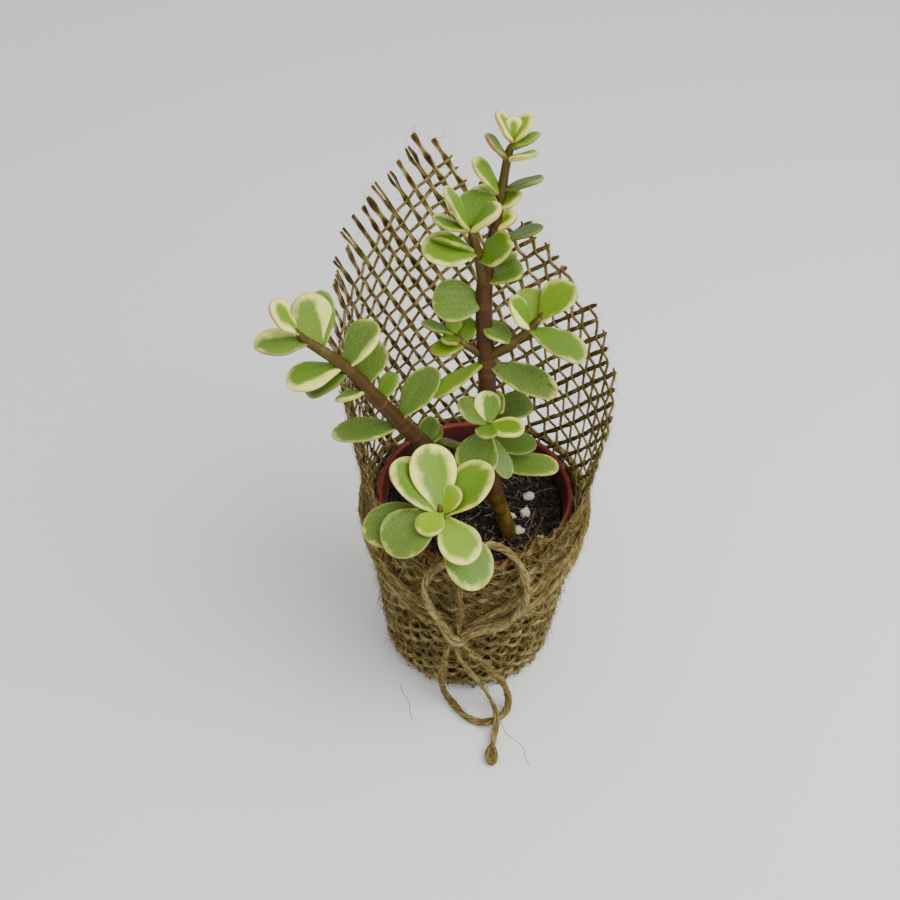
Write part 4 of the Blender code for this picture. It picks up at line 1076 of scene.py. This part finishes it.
def barkMaterial():
    made, tree, shader = newMaterial("stemSkin", 0.38)
    place = addNode(tree, "ShaderNodeUVMap", uv_map="UVMap").outputs[0]
    paint = addNode(tree, "ShaderNodeAttribute", attribute_name="paint")
    age, ring, dry = addNode(tree, "ShaderNodeSeparateColor", {0: paint.outputs["Color"]}).outputs
    grain = stretchedNoise(tree, place, 1.0, (14.0, 2.0, 1.0), 4.0)
    patch = stretchedNoise(tree, place, 1.0, (3.0, 2.4, 1.0), 2.0, (4, 1, 0))
    fresh = blendColour(tree, patch, (0.044, 0.052, 0.001), (0.075, 0.034, 0.002))
    ripe = blendColour(tree, patch, (0.030, 0.006, 0.001), (0.064, 0.016, 0.003))
    colour = blendColour(tree, age, fresh, ripe)
    colour = blendColour(tree, dry, colour, blendColour(tree, ramp(tree, patch, [(0.35, (0.02, 0.02, 0.02)), (0.62, (0.95, 0.95, 0.95))]),
                                                    (0.030, 0.017, 0.003), (0.140, 0.085, 0.017)))
    scar = math2(tree, "SUBTRACT", math2(tree, "MULTIPLY", ring, 1.9), 0.9, True)
    colour = blendColour(tree, math2(tree, "ADD", math2(tree, "MULTIPLY", ring, 0.3), math2(tree, "MULTIPLY", scar, 0.6)),
                         colour, (0.190, 0.110, 0.030))
    lines = math2(tree, "MULTIPLY", math2(tree, "SUBTRACT", grain, 0.5), 0.5, True)
    colour = blendColour(tree, lines, colour, (0.16, 0.09, 0.04))
    tree.links.new(colour, shader.inputs["Base Color"])
    shader.inputs["Specular IOR Level"].default_value = 0.25
    addBump(tree, shader, grain, 0.35, 0.0004)
    return made


def addBranch(store, rows, age, leafHeights, chance, trunk):
    path = smoothPath([row[:3] for row in rows], 0.55)
    table = np.array(rows, float)
    radius = np.interp(path[:, 2], table[:, 2], table[:, 3])
    ring = np.zeros(len(path))
    for height in leafHeights:
        ring += 0.55 * np.exp(-((path[:, 2] - height) / 0.35) ** 2)
    if trunk:   # old leaf scars between the leaves that are left
        for height in np.arange(70, table[-1, 2] - 8, 17.0):
            ring += 0.6 * np.exp(-((path[:, 2] - height - chance.uniform(-3, 3)) / 0.4) ** 2)
    ring = np.clip(ring, 0, 0.6)
    radius = radius * (1 + 0.09 * ring + 0.02 * np.sin(path[:, 2] * 0.8))
    radius[-3:] = radius[-3:] * np.array([0.9, 0.7, 0.4])
    dry = smoothStep(90, 66, path[:, 2]) if trunk else np.zeros(len(path))
    aged = age * smoothStep(table[-1, 2] + 2, table[-1, 2] - 22, path[:, 2]) if trunk else np.full(len(path), age)
    paint = np.stack([aged, ring, dry, np.full(len(path), chance.random())], 1)
    normals = np.tile([0.15, 1.0, 0.1], (len(path), 1))
    addStrand(store, path, normals, radius, radius * 0.96, paint, sides=18, uvStart=chance.random() * 4)


def buildStems(name, branches, material, node, seed):
    chance = random.Random(seed)
    store = newStore()
    for branch in branches:
        heights = [leaf[0] for leaf in leaves[branch]]
        trunk = branch in ("main", "left", "front")
        addBranch(store, stems[branch], stemAge[branch], heights, chance, trunk)
        if branch == "left":   # the dried ring of a lost leaf pair
            for turn in range(7):
                height, start = 94.3 + chance.uniform(-0.6, 0.6), chance.uniform(0, 6)
                sweep = start + np.linspace(0, chance.uniform(1.8, 4.5), 14)
                middle = stemPoint(stems[branch], height)
                tilt = -0.75 * np.cos(sweep) - 0.45 * np.sin(sweep)
                reach = 2.5 + 0.12 * turn + np.clip(np.linspace(-4, 1, 14), 0, 1) * chance.uniform(0, 1.6)
                path = middle + np.stack([reach * np.cos(sweep), reach * np.sin(sweep), -tilt], 1)
                addStrand(store, path, path - middle, 0.14, 0.14, (0.1, 1.0, 0.3, 0.5), sides=5)
        for leaf in leaves[branch]:   # a short thick stalk under each blade
            start = stemPoint(stems[branch], leaf[0])
            az, el = math.radians(leaf[1]), math.radians(leaf[2])
            way = np.array((math.cos(el) * math.cos(az), math.cos(el) * math.sin(az), math.sin(el)))
            reach = 1.6 + 0.07 * leaf[3]
            path = start + np.linspace(0, reach, 5)[:, None] * way
            size = np.array([1.15, 1.05, 0.85, 0.7, 0.45]) * (0.55 + leaf[4] * 0.035)
            addStrand(store, path, np.tile([0.2, 0.3, 1.0], (5, 1)), size, size * 0.8,
                      (stemAge[branch] * 0.5, 0.2, 0, chance.random()), sides=10)
    return finishStore(name, store, material, [node])


# Soil: dark potting mix with bark, fibres and white perlite
soil = {"top": 60.5, "reach": 26.9, "crumbs": 4200, "fibres": 150,
        "perlite": [((16.8, 2.9), 1.5), ((15.5, -4.0), 1.6), ((11.5, -5.4), 1.2), ((13.6, -11.2), 1.6),
                    ((-23, 7), 1.4), ((20, -14), 1.2)]}


def soilMaterial():
    made, tree, shader = newMaterial("pottingMix", 0.95)
    place = addNode(tree, "ShaderNodeTexCoord").outputs["Object"]
    lumps = stretchedNoise(tree, place, 700.0, (1, 1, 1), 5.0)
    colour = ramp(tree, lumps, [(0.35, (0.006, 0.004, 0.003)), (0.6, (0.030, 0.020, 0.012)),
                                (0.75, (0.075, 0.050, 0.030))])
    tree.links.new(colour, shader.inputs["Base Color"])
    addBump(tree, shader, lumps, 1.0, 0.001)
    return made


def crumbMaterial():
    made, tree, shader = newMaterial("soilCrumb", 0.92)
    place = addNode(tree, "ShaderNodeTexCoord").outputs["Object"]
    paint = addNode(tree, "ShaderNodeAttribute", attribute_name="paint")
    pit = stretchedNoise(tree, place, 1500.0, (1, 1, 1), 4.0)
    dark = blendColour(tree, pit, (0.45, 0.45, 0.45), (1.35, 1.35, 1.35))
    colour = blendColour(tree, 1.0, paint.outputs["Color"], dark, "MULTIPLY")
    tree.links.new(colour, shader.inputs["Base Color"])
    addBump(tree, shader, pit, 0.8, 0.0006)
    return made


def grainShapes(chance, fineness):
    # a few lumpy grains, shaped once and then copied
    shapes = []
    for number in range(6):
        bpy.ops.object.select_all(action="DESELECT")
        bpy.ops.mesh.primitive_ico_sphere_add(subdivisions=fineness, radius=1.0)
        grain = bpy.context.object
        bpy.ops.object.mode_set(mode="EDIT")
        bpy.ops.mesh.select_all(action="SELECT")
        bpy.ops.transform.vertex_random(offset=0.32, uniform=0.4, normal=0.6, seed=number)
        bpy.ops.object.mode_set(mode="OBJECT")
        points = np.array([tuple(v.co) for v in grain.data.vertices])
        faces = np.array([tuple(f.vertices) for f in grain.data.polygons])
        shapes.append((points, faces))
        bpy.data.objects.remove(grain)
    return shapes


def addGrain(store, shape, spot, size, colour, chance):
    points, faces = shape
    turn = np.array(Matrix.Rotation(chance.uniform(0, 6.28), 3, Vector(
        (chance.uniform(-1, 1), chance.uniform(-1, 1), chance.uniform(-1, 1)))))
    placed = (points * size) @ turn.T + spot
    store["points"].append(placed)
    store["paint"].append(np.tile([*colour, 1.0], (len(points), 1)))
    store["tris"].append(faces + store["count"])
    store["triUv"].append(np.zeros((len(faces), 3, 2)))
    store["count"] += len(points)


def buildSoil():
    chance = random.Random(31)
    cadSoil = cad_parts["soil"]
    for slot in cadSoil.material_slots:
        slot.material = soilMaterial()
    shapes, perliteShapes = grainShapes(chance, 1), grainShapes(chance, 2)
    store = newStore()
    crumb = crumbMaterial()
    for _ in range(soil["crumbs"]):
        reach = soil["reach"] * math.sqrt(chance.random())
        turn = chance.uniform(0, 2 * math.pi)
        size = np.array([chance.uniform(0.30, 0.95) for _ in range(3)]) * chance.uniform(0.45, 1.1)
        tone = chance.random()
        colour = (0.007, 0.004, 0.003) if tone < 0.66 else (0.030, 0.015, 0.007) if tone < 0.93 else (0.12, 0.07, 0.03)
        if tone > 0.985:
            colour, size = (0.5, 0.48, 0.43), size * 0.6
        reach = min(reach, soil["reach"] - size.max() * 0.7)
        spot = (reach * math.sin(turn), reach * math.cos(turn), soil["top"] + chance.uniform(-0.1, 0.9))
        addGrain(store, shapes[chance.randrange(6)], spot, size, colour, chance)
    draw = np.random.default_rng(8)
    count = soil["fibres"]
    spots = draw.uniform(-1, 1, (count, 3)) * (19, 19, 0.5) + (0, 0, soil["top"] + 1.3)
    ways = unit(draw.normal(0, 1, (count, 3)) * (1, 1, 0.18))
    tones = draw.uniform(0.1, 0.45, (count, 1))
    paint = np.concatenate([tones, tones * 0.72, tones * 0.45, np.ones((count, 1))], 1)
    addHairs(store, spots, ways, draw.normal(0, 0.4, (count, 3)) * (1, 1, 0.1), draw.uniform(2, 8, count),
             draw.uniform(0.05, 0.16, count), paint, 5)
    finishStore("soilCrumbs", store, crumb)
    grains = newStore()
    for (x, y), size in soil["perlite"]:
        shape = np.array((0.95, 1.1, 0.85)) * size
        spot = (x, y, soil["top"] + 0.6 + size * 0.8)
        addGrain(grains, perliteShapes[chance.randrange(6)], spot, shape, (0.62, 0.57, 0.45), chance)
    finishStore("perliteGrains", grains, crumb, [f"perlite_{k}" for k in range(1, 7)])


addCamera()
addStage()
print("camera and stage ready")
twinePaths, twineLook = buildTwine()
netPiece, juteLook, fanRows, frontRows = buildNet()
fuzzPieces = buildFuzz(juteLook, twineLook, fanRows, frontRows, twinePaths)
buildPot()
leafSkin, stemSkin = leafMaterial(), barkMaterial()
for stemName, branchNames, node, seed in (("mainStem", ("main", "fork", "east", "west", "bud"), "main_stem", 1),
                                          ("leftStem", ("left",), "left_stem", 2),
                                          ("frontShoot", ("front",), "front_shoot", 3)):
    buildStems(stemName + "Bark", branchNames, stemSkin, node, seed)
    buildLeaves(stemName + "Leaves", branchNames, leafSkin, node, seed)
buildSoil()
